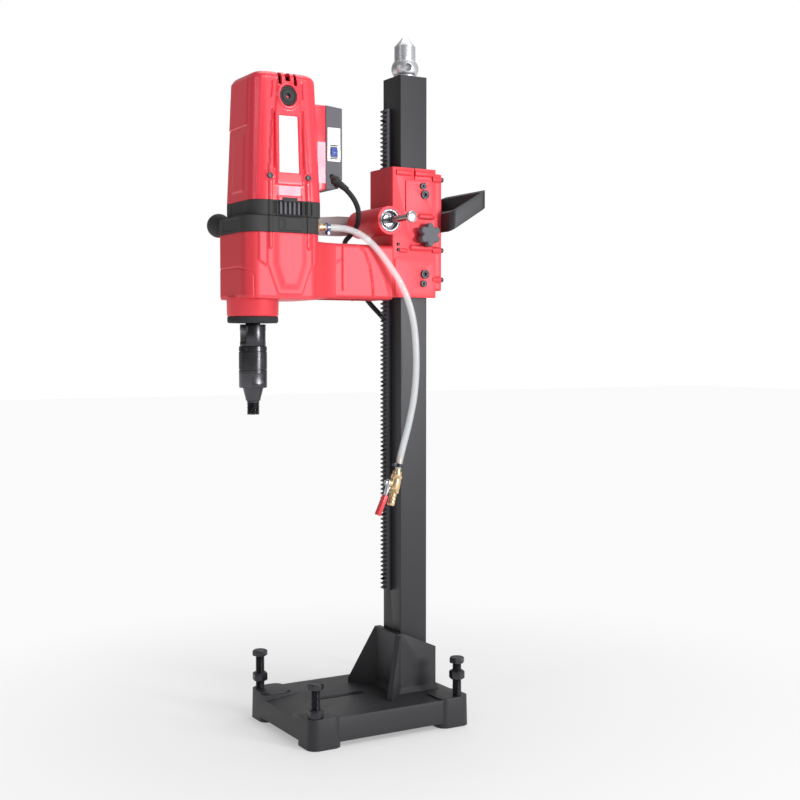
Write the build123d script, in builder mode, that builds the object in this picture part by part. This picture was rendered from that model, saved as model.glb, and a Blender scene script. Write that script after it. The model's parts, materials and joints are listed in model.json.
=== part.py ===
from build123d import *
import math
import os

os.makedirs("parts", exist_ok=True)

# Core drill rig, millimetres. +Z is up, the drill head stands towards -Y of the
# column, X = 0 is the plane of symmetry, and the origin is the column's axis on
# the floor.

# ---- clearances -------------------------------------------------------------
running_fit = 0.05      # radial play of a shaft in its bearing, bush or thread
seat_play = 0.10        # play round a piece that is seated and held
backlash = 0.20         # taken off each tooth's thickness on the pitch line

# ---- base casting -----------------------------------------------------------
base_width = 254.0
base_front = 256.0      # from the column's axis to the front edge
base_rear = 62.0
base_height = 53.0      # top of the corner pads
deck_top = 50.0
deck_thickness = 13.0
base_wall = 10.0
base_arch = 9.0         # the skirt between the pads stops this far above the floor
base_draft = 1.5
pad_size = 62.0
pad_step = 4.0          # how far a pad stands out past the skirt
base_corner = 17.0
level_inset_x = 14.0    # levelling screws from the base's side and end edges
level_inset_front = 16.0
level_inset_rear = 21.0
slot_length = 104.0
slot_width = 18.0
slot_centre_y = -140.0
valley_width = 110.0
valley_depth = 7.0
valley_length = 70.0

# ---- column, its socket and rack ---------------------------------------------
column_x = 62.0
column_y = 56.0
column_wall = 5.0
column_corner = 2.5
column_top = 1157.0
column_seat = 24.0      # the socket's floor inside the base
socket_wall = 12.0
socket_front_top = 157.0
socket_rear_top = 127.0
gusset_reach = 54.0
gusset_thickness = 9.0
gusset_foot = 8.0
gusset_height = 105.0
gusset_angle = 47.0     # from the X axis towards the front
plinth_step = 7.0
rack_module = 2.5
rack_width = 16.0
rack_centre_x = -9.0
rack_proud = 14.0       # tooth tips ahead of the column's front face
rack_foot_gap = 70.0    # least height of the rack's lower end over the socket
rack_head_gap = 50.0    # and of the column's top over its upper end
rack_screw_every = 15   # pitches between rack screws
foot_block = 28.0
top_block = 30.0
column_bolt_radius = 5.0
column_bolt_spacing = 30.0

# ---- levelling screws and jack screw -------------------------------------------
m16_radius = 8.0
m16_flats = 24.0
m16_head = 10.0
m16_shank = 98.0
m16_nut = 15.0
jack_shank_radius = 12.0
jack_shank_below = 95.0
jack_neck_radius = 20.0
jack_bulge_radius = 24.5
jack_height = 74.0
jack_flats = 36.0
jack_hole_radius = 7.0
jack_hole_turn = -16.0

# ---- carriage -------------------------------------------------------------------
carriage_wall = 7.0
carriage_front = 50.0
carriage_rear = 40.0
carriage_bottom = 762.0
carriage_height = 230.0
guide_play = 3.0        # from the column to the carriage's inner walls
rear_plate = 12.0
pinion_room = 0.5       # from the pinion's tips to its chamber
barrel_wall = 4.5
barrel_left = 69.0
barrel_right = 46.0
pinion_z = 897.0
pinion_teeth = 14
pinion_width = 20.0
shaft_radius = 10.0
spigot_radius = 6.0
spigot_end = 122.0
lever_pitch_radius = 265.0
lever_tilt = 2.4        # degrees below level at rest
lever_room = 10.0       # from the feed ball to the motor's side
lever_thickness = 10.0
lever_hub_radius = 16.0
lever_ball_radius = 21.0
knob_y = 20.0
knob_radius = 21.0
knob_thickness = 13.0
knob_stand_off = 7.0
handle_half_x = 75.0
handle_strap = 8.0
handle_back = 130.0
handle_rise = 48.0      # from its root to its grip
handle_tall = 31.0
handle_bolt_x = 20.0

# ---- head: arm, gearbox, motor ----------------------------------------------------
arm_bottom = 757.0
arm_top = 853.0
arm_half_x = 42.0
gearbox_half_x = 66.0
gearbox_front = 341.0
gearbox_rear = 200.0
gearbox_bottom = 754.0
gearbox_top = 864.0
gearbox_corner = 25.0
gearbox_wall = 6.0
gearbox_floor = 22.0
spindle_y = -301.0
nose_radius = 44.0
nose_bottom = 725.0
motor_y = -262.0
motor_half = 66.0
motor_corner = 25.0
motor_wall = 4.0
motor_bottom = 918.0
cover_seam = 1042.0
motor_top = 1132.0
motor_draft = 2.25
lid_bottom = gearbox_top
vent_bottom = 892.0
stator_radius = 53.0
stator_bore = 31.0
stator_bottom = 950.0
stator_height = 70.0
brush_z = 1092.0
brush_width = 6.3
brush_height = 12.5
brush_tube_radius = 9.0
brush_cap_radius = 16.0
commutator_radius = 18.0
armature_shaft_radius = 7.5

# ---- gears ---------------------------------------------------------------------
pressure_angle = math.radians(25)
first_module = 1.25
first_pinion_teeth = 11
first_gear_teeth = 43
second_module = 1.75
second_pinion_teeth = 12
second_gear_teeth = 36
first_gear_z = 838.0
second_gear_z = 782.0

# ---- switch box, cord and water ----------------------------------------------------
box_half_x = 35.0
box_bottom = 939.0
box_top = 1088.0
box_base_depth = 18.0   # behind the motor's side at its foot
box_cover_depth = 31.0
cord_radius = 4.5
coil_radius = 50.0
coil_height = 27.0
coil_turn_width = 18.0
coil_centre = (-190.0, 103.0)
hose_radius = 6.0
spout_radius = 6.5
spout_length = 22.0
valve_tilt = 13.0
valve_top = (60.0, -49.5, 458.0)

# ---- derived ---------------------------------------------------------------------
base_length = base_front + base_rear
base_mid_y = (base_rear - base_front) / 2
level_x = base_width / 2 - level_inset_x
level_front = base_front - level_inset_front
level_rear = base_rear - level_inset_rear
column_front = -column_y / 2
column_rear = column_y / 2
socket_half_x = column_x / 2 + socket_wall
rack_pitch = math.pi * rack_module
rack_pitches_below = int((pinion_z - socket_front_top - rack_foot_gap) / rack_pitch)
rack_pitches_above = int((column_top - rack_head_gap - pinion_z) / rack_pitch)
pinion_pitch_radius = rack_module * pinion_teeth / 2
sleeve_radius = pinion_pitch_radius + rack_module + pinion_room
barrel_radius = sleeve_radius + barrel_wall
pinion_y = column_front - rack_proud + rack_module - pinion_pitch_radius
bore_half_x = column_x / 2 + guide_play
carriage_half_x = bore_half_x + carriage_wall
bore_half_y = column_y / 2 + guide_play
knob_z = carriage_bottom + 112
handle_low = carriage_bottom + 118
handle_bolt_z = handle_low + 17
carriage_top = carriage_bottom + carriage_height
plate_back = carriage_rear + rear_plate
gearbox_mid_y = -(gearbox_front + gearbox_rear) / 2
gearbox_length = gearbox_front - gearbox_rear
motor_slope = math.tan(math.radians(motor_draft))
lever_x = -(motor_half + lever_room + lever_ball_radius)
box_base_rear = motor_y + motor_half + box_base_depth
box_cover_rear = box_base_rear + box_cover_depth
first_centres = first_module * (first_pinion_teeth + first_gear_teeth) / 2
second_centres = second_module * (second_pinion_teeth + second_gear_teeth) / 2
axis_offset = motor_y - spindle_y
layshaft_forward = (first_centres**2 + axis_offset**2 - second_centres**2) / (2 * axis_offset)
layshaft_x = -math.sqrt(first_centres**2 - layshaft_forward**2)
layshaft_y = motor_y - layshaft_forward


# ---- helpers ------------------------------------------------------------------------
def save(piece, label):
    """Label a finished part and write it as one STEP file."""
    piece.part.label = label
    export_step(piece.part, f"parts/{label}.step")


def up(x, y, z):
    return Plane(origin=(x, y, z), x_dir=(1, 0, 0), z_dir=(0, 0, 1))


def rightward(x, y, z):
    return Plane(origin=(x, y, z), x_dir=(0, 1, 0), z_dir=(1, 0, 0))


def rearward(x, y, z):
    return Plane(origin=(x, y, z), x_dir=(-1, 0, 0), z_dir=(0, 1, 0))


def forward(x, y, z):
    return Plane(origin=(x, y, z), x_dir=(1, 0, 0), z_dir=(0, -1, 0))


def rod(plane, radius, length, mode=Mode.ADD):
    """Round bar from the plane along its normal."""
    with BuildSketch(plane) as section:
        Circle(radius)
    extrude(section.sketch, amount=length, mode=mode)


def hex_bar(plane, flats, length, mode=Mode.ADD):
    with BuildSketch(plane) as section:
        RegularPolygon(flats / 2, 6, major_radius=False)
    extrude(section.sketch, amount=length, mode=mode)


def slab(plane, width, length, height, corner=0.0, mode=Mode.ADD, taper=0.0):
    """Rectangular block centred on the plane, with rounded upright edges."""
    with BuildSketch(plane) as section:
        if corner:
            RectangleRounded(width, length, corner)
        else:
            Rectangle(width, length)
    extrude(section.sketch, amount=height, taper=taper, mode=mode)


def prism(plane, points, half_depth, mode=Mode.ADD):
    """Closed polygon drawn on the plane, extruded to both sides of it."""
    with BuildSketch(plane) as section:
        with BuildLine():
            Polyline(*points, close=True)
        make_face()
    extrude(section.sketch, amount=half_depth, both=True, mode=mode)


def ring(plane, outer, inner, length):
    """Plain ring from the plane along its normal."""
    with BuildSketch(plane) as section:
        Circle(outer)
        Circle(inner, mode=Mode.SUBTRACT)
    extrude(section.sketch, amount=length)


def hex_bolt(plane, radius, shank, flats, head):
    """Bolt whose shank leaves the plane along its normal, with the head behind it."""
    rod(plane, radius, shank)
    hex_bar(plane.offset(-head), flats, head)


def cap_screw(plane, radius, shank, head_radius, head):
    """Socket screw whose shank leaves the plane along its normal."""
    rod(plane, radius, shank)
    rod(plane.offset(-head), head_radius, head)
    hex_bar(plane.offset(-head), radius, head / 2, mode=Mode.SUBTRACT)


def gear_outline(module, teeth, first_tooth_degrees):
    """Corner points of an involute spur gear, with a tooth centred on the given direction."""
    pitch = module * teeth / 2
    base = pitch * math.cos(pressure_angle)
    root = pitch - 1.25 * module
    tip = pitch + module
    flank_start = max(base, root + 0.1 * module)
    steps = 4
    radii = [flank_start + (tip - flank_start) * i / steps for i in range(steps + 1)]

    def half_angle(radius):
        roll = math.acos(min(1.0, base / radius))
        pitch_half = (math.pi * module / 2 - backlash) / (2 * pitch)
        return pitch_half + involute(pressure_angle) - involute(roll)

    points = []
    for tooth in range(teeth):
        centre = math.radians(first_tooth_degrees) + tooth * 2 * math.pi / teeth
        foot = half_angle(flank_start)
        flank = [(root, foot)] + [(radius, half_angle(radius)) for radius in radii]
        for radius, half in flank:
            points.append((radius, centre - half))
        for radius, half in reversed(flank):
            points.append((radius, centre + half))
    return [(r * math.cos(a), r * math.sin(a)) for r, a in points]


def involute(angle):
    return math.tan(angle) - angle


def gear_wheel(plane, module, teeth, first_tooth_degrees, width, bore):
    """Spur gear from the plane along its normal."""
    with BuildSketch(plane) as section:
        with BuildLine():
            Polyline(*gear_outline(module, teeth, first_tooth_degrees), close=True)
        make_face()
        if bore:
            Circle(bore, mode=Mode.SUBTRACT)
    extrude(section.sketch, amount=width)


def limp_wire(points):
    """Straight runs joined by tangent arcs, each as large as its two runs allow."""
    corners = [Vector(*point) for point in points]
    radii = []
    for before, here, after in zip(corners, corners[1:], corners[2:]):
        inward = here - before
        outward = after - here
        turn = math.radians(inward.get_angle(outward))
        radii.append(0.45 * min(inward.length, outward.length) / math.tan(turn / 2))
    return radii


def round_tube(points, radius):
    """Solid cord along its route, added to the open part."""
    with BuildLine() as route:
        FilletPolyline(*points, radius=limp_wire(points))
    with BuildSketch(Plane(origin=route.line @ 0, z_dir=route.line % 0)) as section:
        Circle(radius)
    sweep(section.sketch, path=route.line)
    return sum(edge.length for edge in route.edges())


def tube_along(points, radius, label):
    """Whole free cord as a part, with its length and tightest arc printed."""
    with BuildPart() as cord:
        length = round_tube(points, radius)
    share = cord.part.volume / (math.pi * radius**2 * length)
    tightest = min(limp_wire(points))
    print(f"{label}: length {length:.0f}, tightest radius {tightest:.1f}, volume share {share:.4f}")
    save(cord, label)


# ================================ stand ================================
pad_places = GridLocations(base_width - pad_size, base_length - pad_size, 2, 2)
level_places = [(x, y) for x in (level_x, -level_x) for y in (-level_front, level_rear)]

with BuildPart() as base_casting:
    slab(up(0, base_mid_y, base_arch), base_width - 2 * pad_step, base_length,
         deck_top - base_arch, base_corner, taper=base_draft)
    with BuildSketch(up(0, base_mid_y, 0)):
        with pad_places:
            RectangleRounded(pad_size, pad_size, base_corner)
    extrude(amount=base_height, taper=base_draft)
    # hollow underneath, round the pads, the column's foot and two long ribs
    with BuildSketch(up(0, base_mid_y, 0)):
        Rectangle(base_width - 2 * (pad_step + base_wall), base_length - 2 * base_wall)
        with pad_places:
            RectangleRounded(pad_size, pad_size, base_corner, mode=Mode.SUBTRACT)
        with GridLocations(valley_width - base_wall, 0, 2, 1):
            Rectangle(base_wall, base_length, mode=Mode.SUBTRACT)
        with Locations((0, -base_mid_y)):
            Rectangle(2 * socket_half_x, column_y + 2 * socket_wall, mode=Mode.SUBTRACT)
    extrude(amount=deck_top - deck_thickness, mode=Mode.SUBTRACT)
    # shallow valley running out to the front edge
    prism(Plane.YZ, [(-base_front - 1, deck_top - valley_depth),
                     (-base_front - 1, deck_top + 1),
                     (-base_front + valley_length, deck_top + 1),
                     (-base_front + valley_length, deck_top)], valley_width / 2, mode=Mode.SUBTRACT)
    # anchor slot
    with BuildSketch(Plane.XY):
        with Locations((0, slot_centre_y)):
            SlotOverall(slot_length, slot_width, rotation=90)
    extrude(amount=deck_top + 1, mode=Mode.SUBTRACT)
    # column socket with its sloping side walls, plinth and corner gussets
    socket_front = column_front - socket_wall
    socket_rear = column_rear + socket_wall
    slab(up(0, 0, deck_top - 1), 2 * (socket_half_x + plinth_step),
         column_y + 2 * (socket_wall + plinth_step), 10, 6, taper=35)
    prism(Plane.YZ, [(socket_front, column_seat), (socket_front, socket_front_top),
                     (column_front, socket_front_top), (socket_rear, socket_rear_top),
                     (socket_rear, column_seat)], socket_half_x)
    for side in (-1, 1):
        reach = (side * math.cos(math.radians(gusset_angle)), -math.sin(math.radians(gusset_angle)), 0)
        web = Plane(origin=(side * (socket_half_x - 3), socket_front + 3, 0), x_dir=reach,
                    z_dir=(reach[1], -reach[0], 0))
        prism(web, [(-3, deck_top - 1), (gusset_reach, deck_top - 1),
                    (gusset_reach, deck_top + gusset_foot), (4, deck_top + gusset_height),
                    (-3, deck_top + gusset_height)], gusset_thickness / 2)
    slab(up(0, 0, column_seat), column_x + 2 * seat_play, column_y + 2 * seat_play,
         socket_front_top, mode=Mode.SUBTRACT)
    for x, y in level_places:
        rod(up(x, y, -1), m16_radius + seat_play, base_height + 2, mode=Mode.SUBTRACT)
    for y in (-column_bolt_spacing / 2, column_bolt_spacing / 2):
        rod(up(0, y, -1), column_bolt_radius + seat_play, column_seat + 2, mode=Mode.SUBTRACT)
        rod(up(0, y, -1), 2 * column_bolt_radius, 9.5, mode=Mode.SUBTRACT)
save(base_casting, "base_casting")

rack_screw_steps = range(3 - rack_pitches_below, rack_pitches_above, rack_screw_every)
rack_screw_z = [pinion_z + k * rack_pitch for k in rack_screw_steps]
rack_root_y = column_front - rack_proud + 2.25 * rack_module
rack_screw_radius = 3.0
rack_head_radius = 5.0
rack_head_recess = 2.5

with BuildPart() as column_tube:
    with BuildSketch(Plane.XY.offset(column_seat)):
        RectangleRounded(column_x, column_y, column_corner)
        Rectangle(column_x - 2 * column_wall, column_y - 2 * column_wall, mode=Mode.SUBTRACT)
    extrude(amount=column_top - column_seat)
    for z in rack_screw_z:
        rod(rearward(rack_centre_x, column_front - 1, z), rack_screw_radius + running_fit,
            column_wall + 2, mode=Mode.SUBTRACT)
save(column_tube, "column_tube")


def rack_outline():
    """Side view of the rack: gap centres at whole pitches from the pinion's height."""
    slope = math.tan(pressure_angle)
    half_tooth = (math.pi * rack_module / 2 - backlash) / 2
    tip_half = half_tooth - rack_module * slope
    root_half = half_tooth + 1.25 * rack_module * slope
    tip_y = column_front - rack_proud
    first = pinion_z - rack_pitches_below * rack_pitch
    points = [(column_front, first), (rack_root_y, first)]
    for k in range(rack_pitches_below + rack_pitches_above):
        middle = first + (k + 0.5) * rack_pitch
        points += [(rack_root_y, middle - root_half), (tip_y, middle - tip_half),
                   (tip_y, middle + tip_half), (rack_root_y, middle + root_half)]
    last = pinion_z + rack_pitches_above * rack_pitch
    points += [(rack_root_y, last), (column_front, last)]
    return points


with BuildPart() as rack_bar:
    prism(Plane.YZ.offset(rack_centre_x), rack_outline(), rack_width / 2)
    for z in rack_screw_z:
        rod(rearward(rack_centre_x, column_front - rack_proud - 1, z), rack_screw_radius + seat_play,
            rack_proud + 2, mode=Mode.SUBTRACT)
        rod(rearward(rack_centre_x, column_front - rack_proud - 1, z), rack_head_radius + seat_play,
            rack_root_y + rack_head_recess - column_front + rack_proud + 1, mode=Mode.SUBTRACT)
save(rack_bar, "rack_bar")

block_x = column_x - 2 * column_wall - 2 * seat_play
block_y = column_y - 2 * column_wall - 2 * seat_play
with BuildPart() as column_end_blocks:
    slab(up(0, 0, column_seat), block_x, block_y, foot_block)
    slab(up(0, 0, column_top - top_block), block_x, block_y, top_block)
    for y in (-column_bolt_spacing / 2, column_bolt_spacing / 2):
        rod(up(0, y, column_seat - 1), column_bolt_radius + running_fit, foot_block + 2, mode=Mode.SUBTRACT)
    rod(up(0, 0, column_top - top_block - 1), jack_shank_radius + seat_play, top_block + 2,
        mode=Mode.SUBTRACT)
save(column_end_blocks, "column_end_blocks")

rack_seat_y = rack_root_y + rack_head_recess
with BuildPart() as column_fasteners:
    for y in (-column_bolt_spacing / 2, column_bolt_spacing / 2):
        hex_bolt(up(0, y, 8.5), column_bolt_radius, column_seat + foot_block - 12, 16, 6.4)
    for z in rack_screw_z:
        cap_screw(rearward(rack_centre_x, rack_seat_y, z), rack_screw_radius,
                  column_front + column_wall - rack_seat_y, rack_head_radius, 2.4)
save(column_fasteners, "column_fasteners")

# height of each head's top above the floor, and of the underside of its lock nut
level_settings = {
    "front_right": (level_x, -level_front, 112.0, base_height),
    "front_left": (-level_x, -level_front, 122.0, 66.0),
    "rear_right": (level_x, level_rear, 122.0, 83.0),
    "rear_left": (-level_x, level_rear, 112.0, base_height),
}
for corner, (x, y, head_top, nut_bottom) in level_settings.items():
    with BuildPart() as levelling_screw:
        rod(up(x, y, head_top - m16_head - m16_shank), m16_radius, m16_shank)
        chamfer(levelling_screw.edges().sort_by(Axis.Z)[0], length=1.5)
        hex_bar(up(x, y, head_top - m16_head), m16_flats, m16_head)
    save(levelling_screw, f"levelling_screw_{corner}")

with BuildPart() as levelling_lock_nuts:
    for x, y, head_top, nut_bottom in level_settings.values():
        hex_bar(up(x, y, nut_bottom), m16_flats, m16_nut)
    for x, y, head_top, nut_bottom in level_settings.values():
        rod(up(x, y, 0), m16_radius + seat_play, head_top, mode=Mode.SUBTRACT)
save(levelling_lock_nuts, "levelling_lock_nuts")

with BuildPart() as jack_screw:
    with BuildSketch(Plane.XZ):
        with BuildLine():
            Polyline(
                (0, column_top - jack_shank_below),
                (jack_shank_radius, column_top - jack_shank_below),
                (jack_shank_radius, column_top),
                (jack_neck_radius, column_top),
                (jack_neck_radius, column_top + 5),
            )
            ThreePointArc(
                (jack_neck_radius, column_top + 5),
                (jack_bulge_radius, column_top + 17),
                (jack_neck_radius - 1, column_top + 31),
            )
            Polyline(
                (jack_neck_radius - 1, column_top + 31),
                (jack_flats / 2 + 1, column_top + 36),
                (jack_flats / 2 + 1, column_top + 57),
                (5, column_top + jack_height - 1),
                (3, column_top + jack_height),
                (0, column_top + jack_height),
                (0, column_top - jack_shank_below),
            )
        make_face()
    revolve(axis=Axis.Z)
    with BuildSketch(Plane.XY.offset(column_top + 36)):
        Circle(jack_bulge_radius)
        RegularPolygon(jack_flats / 2, 6, major_radius=False, mode=Mode.SUBTRACT)
    extrude(amount=21, mode=Mode.SUBTRACT)
    turn = math.radians(jack_hole_turn)
    rod(Plane(origin=(-30 * math.cos(turn), -30 * math.sin(turn), column_top + 17),
              z_dir=(math.cos(turn), math.sin(turn), 0)), jack_hole_radius, 60, mode=Mode.SUBTRACT)
save(jack_screw, "jack_screw")

# ================================ carriage ================================
bush_radius = 13.0
sleeve_left = pinion_width / 2 + rack_centre_x + 1.5
pinion_left = rack_centre_x - pinion_width / 2
chamber_left = pinion_left - 1.5
gib_big = [(16.0, carriage_top - 46), (16.0, carriage_bottom + 42)]
gib_small = [(12.0, carriage_top - 31), (13.0, carriage_bottom + 25)]
gib_big_radius = 5.0
gib_small_radius = 3.0
plate_bolt_x = bore_half_x + (carriage_half_x - bore_half_x) / 2
plate_bolt_z = [carriage_bottom + 33, carriage_bottom + 86, carriage_top - 17]
plate_bolt_radius = 2.5
plate_bottom = carriage_bottom + 13
plate_top = carriage_top - 7
flank_panel = 2.5
thumb_depth = 2.0
arm_bolt_radius = 5.0
arm_bolt_head = 7.5
arm_flange = 12.0
arm_bolts_at = [(x, z) for x in (27.0, -27.0) for z in (arm_bottom + 21, arm_top - 21)]
stud_radius = 5.0

with BuildPart() as carriage_housing:
    slab(up(0, (carriage_rear - carriage_front) / 2, carriage_bottom), 2 * carriage_half_x,
         carriage_front + carriage_rear, carriage_height)
    upright = carriage_housing.edges().filter_by(Axis.Z)
    fillet(upright.sort_by(Axis.Y)[:2], radius=3)
    # raised wear panels on both flanks
    for side in (-1, 1):
        slab(rightward(side * carriage_half_x, 6, carriage_top - 50), 58, 56, side * flank_panel, 3)
        slab(rightward(side * carriage_half_x, -3, carriage_bottom + 36), 84, 66, side * 2.0, 3)
    # rounded rib along the top of each flank
    for side in (-1, 1):
        rod(rearward(side * (carriage_half_x - 4), -carriage_front + 8, carriage_top - 9), 7,
            carriage_front + carriage_rear - 16)
        slab(up(side * (carriage_half_x + 2), -7, carriage_top - 20), 9, 8, 21, mode=Mode.SUBTRACT)
    # pinion barrel
    rod(rightward(-barrel_left, pinion_y, pinion_z), barrel_radius, barrel_left + barrel_right)
    # thumb room round the lock knob
    for side in (-1, 1):
        slab(rightward(side * (carriage_half_x - thumb_depth), 12, knob_z + 4), 48, 36, side * 8, 5,
             mode=Mode.SUBTRACT)
    # column bore, open at the back, and the rack's channel
    slab(up(0, (carriage_rear + 1 - bore_half_y) / 2, carriage_bottom - 1), 2 * bore_half_x,
         carriage_rear + 1 + bore_half_y, carriage_height + 2, mode=Mode.SUBTRACT)
    channel_front = rack_proud - column_front + 3
    slab(up(rack_centre_x, -(channel_front + bore_half_y) / 2 + 1, carriage_bottom - 1), rack_width + 6,
         channel_front - bore_half_y + 2, carriage_height + 2, mode=Mode.SUBTRACT)
    # bores for the pinion, its sleeve and its bush
    rod(rightward(chamber_left, pinion_y, pinion_z), sleeve_radius + seat_play,
        barrel_right - chamber_left + 1, mode=Mode.SUBTRACT)
    rod(rightward(-barrel_left - 1, pinion_y, pinion_z), bush_radius + seat_play,
        barrel_left + 1 + chamber_left, mode=Mode.SUBTRACT)
    for y, z in gib_big:
        rod(rightward(bore_half_x - 1, y, z), gib_big_radius + running_fit, 20, mode=Mode.SUBTRACT)
    for y, z in gib_small:
        rod(rightward(bore_half_x - 1, y, z), gib_small_radius + running_fit, 20, mode=Mode.SUBTRACT)
    rod(rightward(bore_half_x - 1, knob_y, knob_z), stud_radius + running_fit, 20, mode=Mode.SUBTRACT)
    for z in plate_bolt_z:
        for side in (-1, 1):
            rod(rearward(side * plate_bolt_x, carriage_rear - 18, z), plate_bolt_radius + running_fit, 20,
                mode=Mode.SUBTRACT)
    for x, z in arm_bolts_at:
        rod(rearward(x, -carriage_front - 1, z), arm_bolt_radius + running_fit, 18, mode=Mode.SUBTRACT)
save(carriage_housing, "carriage_housing")

plate_mid_z = (plate_bottom + plate_top) / 2
with BuildPart() as carriage_rear_plate:
    slab(rearward(0, carriage_rear, plate_mid_z), 2 * carriage_half_x, plate_top - plate_bottom,
         rear_plate, 4)
    slab(rearward(0, bore_half_y, plate_mid_z), 2 * (bore_half_x - seat_play), plate_top - plate_bottom,
         carriage_rear - bore_half_y + 1)
    for z in plate_bolt_z:
        for side in (-1, 1):
            rod(rearward(side * plate_bolt_x, carriage_rear - 1, z), plate_bolt_radius + seat_play,
                rear_plate + 2, mode=Mode.SUBTRACT)
    for x in (-handle_bolt_x, handle_bolt_x):
        rod(rearward(x, plate_back - 14, handle_bolt_z), 4 + running_fit, 15, mode=Mode.SUBTRACT)
save(carriage_rear_plate, "carriage_rear_plate")


pad_thickness = guide_play - running_fit
pad_levels = [carriage_bottom + 34.0, carriage_top - 46.0]
with BuildPart() as guide_pads:
    for z in pad_levels:
        slab(rightward(column_x / 2 + running_fit, 8, z), 40, 50, pad_thickness - 0.01)
        slab(rightward(-column_x / 2 - running_fit, 0, z), 46, 50, -(pad_thickness - 0.01))
        slab(rearward(18, column_front - running_fit, z), 22, 50, -(pad_thickness - 0.01))
        slab(rearward(0, column_rear + running_fit, z), 44, 50, pad_thickness - 0.01)
save(guide_pads, "guide_pads")

with BuildPart() as gib_screws:
    for places, radius in ((gib_big, gib_big_radius), (gib_small, gib_small_radius)):
        for y, z in places:
            rod(rightward(bore_half_x + 0.1, y, z), radius, 12)
            ring(rightward(carriage_half_x + flank_panel + running_fit, y, z), radius + 3, radius - 0.5, 3)
            hex_bar(rightward(bore_half_x + 8, y, z), radius, 8, mode=Mode.SUBTRACT)
save(gib_screws, "gib_screws")

with BuildPart() as brake_shoe:
    slab(rightward(column_x / 2 + running_fit, knob_y - 4, knob_z), 24, 30, guide_play - 0.25)
save(brake_shoe, "brake_shoe")

knob_root = carriage_half_x - thumb_depth + knob_stand_off
with BuildPart() as lock_knob:
    rod(rightward(bore_half_x - 0.1, knob_y, knob_z), stud_radius, knob_root - bore_half_x + 4)
    rod(rightward(knob_root + 0.3 - knob_stand_off, knob_y, knob_z), 9, knob_stand_off - 0.3)
    with BuildSketch(rightward(knob_root, knob_y, knob_z)):
        Circle(knob_radius * 0.72)
        with PolarLocations(knob_radius - 6.5, 6, start_angle=30):
            Circle(6.5)
    extrude(amount=knob_thickness)
    fillet(lock_knob.faces().sort_by(Axis.X)[-1].edges(), radius=2)
save(lock_knob, "lock_knob")

with BuildPart() as carry_handle:
    with BuildSketch(Plane.XY.offset(handle_low - 5)):
        with Locations((0, (plate_back + handle_back) / 2)):
            RectangleRounded(2 * handle_half_x, handle_back - plate_back, 12)
            RectangleRounded(2 * (handle_half_x - handle_strap), handle_back - plate_back - 2 * handle_strap,
                             5, mode=Mode.SUBTRACT)
    extrude(amount=100)
    prism(Plane.YZ, [(plate_back, handle_low), (handle_back, handle_low + handle_rise),
                     (handle_back, handle_low + handle_rise + handle_tall),
                     (plate_back, handle_low + handle_tall + 3)],
          handle_half_x + 1, mode=Mode.INTERSECT)
    for x in (-handle_bolt_x, handle_bolt_x):
        rod(rearward(x, plate_back - 1, handle_bolt_z), 4 + seat_play, handle_strap + 2, mode=Mode.SUBTRACT)
save(carry_handle, "carry_handle")

with BuildPart() as carriage_bolts:
    for z in plate_bolt_z:
        for side in (-1, 1):
            cap_screw(forward(side * plate_bolt_x, plate_back, z), plate_bolt_radius, rear_plate + 16, 4.5, 5)
    for x, z in arm_bolts_at:
        cap_screw(rearward(x, -carriage_front - arm_flange, z), arm_bolt_radius, arm_flange + 16,
                  arm_bolt_head, 10)
    for x in (-handle_bolt_x, handle_bolt_x):
        cap_screw(forward(x, plate_back + handle_strap, handle_bolt_z), 4, 20, 6.5, 4.5)
save(carriage_bolts, "carriage_bolts")

bush_left = -barrel_left + 1
with BuildPart() as pinion_bushes:
    ring(rightward(bush_left, pinion_y, pinion_z), bush_radius, shaft_radius + running_fit,
         chamber_left - bush_left)
    ring(rightward(sleeve_left, pinion_y, pinion_z), sleeve_radius, shaft_radius + running_fit,
         barrel_right - sleeve_left)
    rod(rightward(barrel_right - 12, pinion_y, pinion_z), sleeve_radius - 4.5, 13, mode=Mode.SUBTRACT)
save(pinion_bushes, "pinion_bushes")

lever_hub_left = lever_x - 7
lever_hub_right = -barrel_left - 2
with BuildPart() as pinion_shaft:
    gear_wheel(rightward(pinion_left, pinion_y, pinion_z), rack_module, pinion_teeth, 0, pinion_width, 0)
    rod(rightward(-barrel_left, pinion_y, pinion_z), shaft_radius, barrel_left + barrel_right - 8)
    rod(rightward(lever_hub_left, pinion_y, pinion_z), 8, -lever_hub_left)
    rod(rightward(0, pinion_y, pinion_z), spigot_radius, spigot_end - 7)
    rod(rightward(spigot_end - 7, pinion_y, pinion_z), 10, 7)
    chamfer(pinion_shaft.faces().sort_by(Axis.X)[-1].edges(), length=1)
    rod(rightward(spigot_end - 2, pinion_y, pinion_z), 1.5, 3, mode=Mode.SUBTRACT)
save(pinion_shaft, "pinion_shaft")

tilt = math.radians(lever_tilt)
along_lever = (0, -math.cos(tilt), -math.sin(tilt))
bar_length = lever_pitch_radius - lever_ball_radius - 5
lever_plane = Plane(origin=(lever_x, pinion_y, pinion_z), x_dir=along_lever, z_dir=(1, 0, 0))
with BuildPart() as feed_lever:
    rod(rightward(lever_hub_left, pinion_y, pinion_z), lever_hub_radius, lever_hub_right - lever_hub_left)
    prism(lever_plane, [(0, -17), (30, -18), (bar_length, -10), (bar_length, 10), (30, 18), (0, 17)],
          lever_thickness / 2)
    ball_seat = Plane(origin=(lever_x, pinion_y + along_lever[1] * (bar_length - 2),
                              pinion_z + along_lever[2] * (bar_length - 2)), z_dir=along_lever)
    rod(ball_seat, 5, 20)
    rod(rightward(lever_hub_left - 1, pinion_y, pinion_z), 8 + running_fit, 40, mode=Mode.SUBTRACT)
save(feed_lever, "feed_lever")

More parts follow.
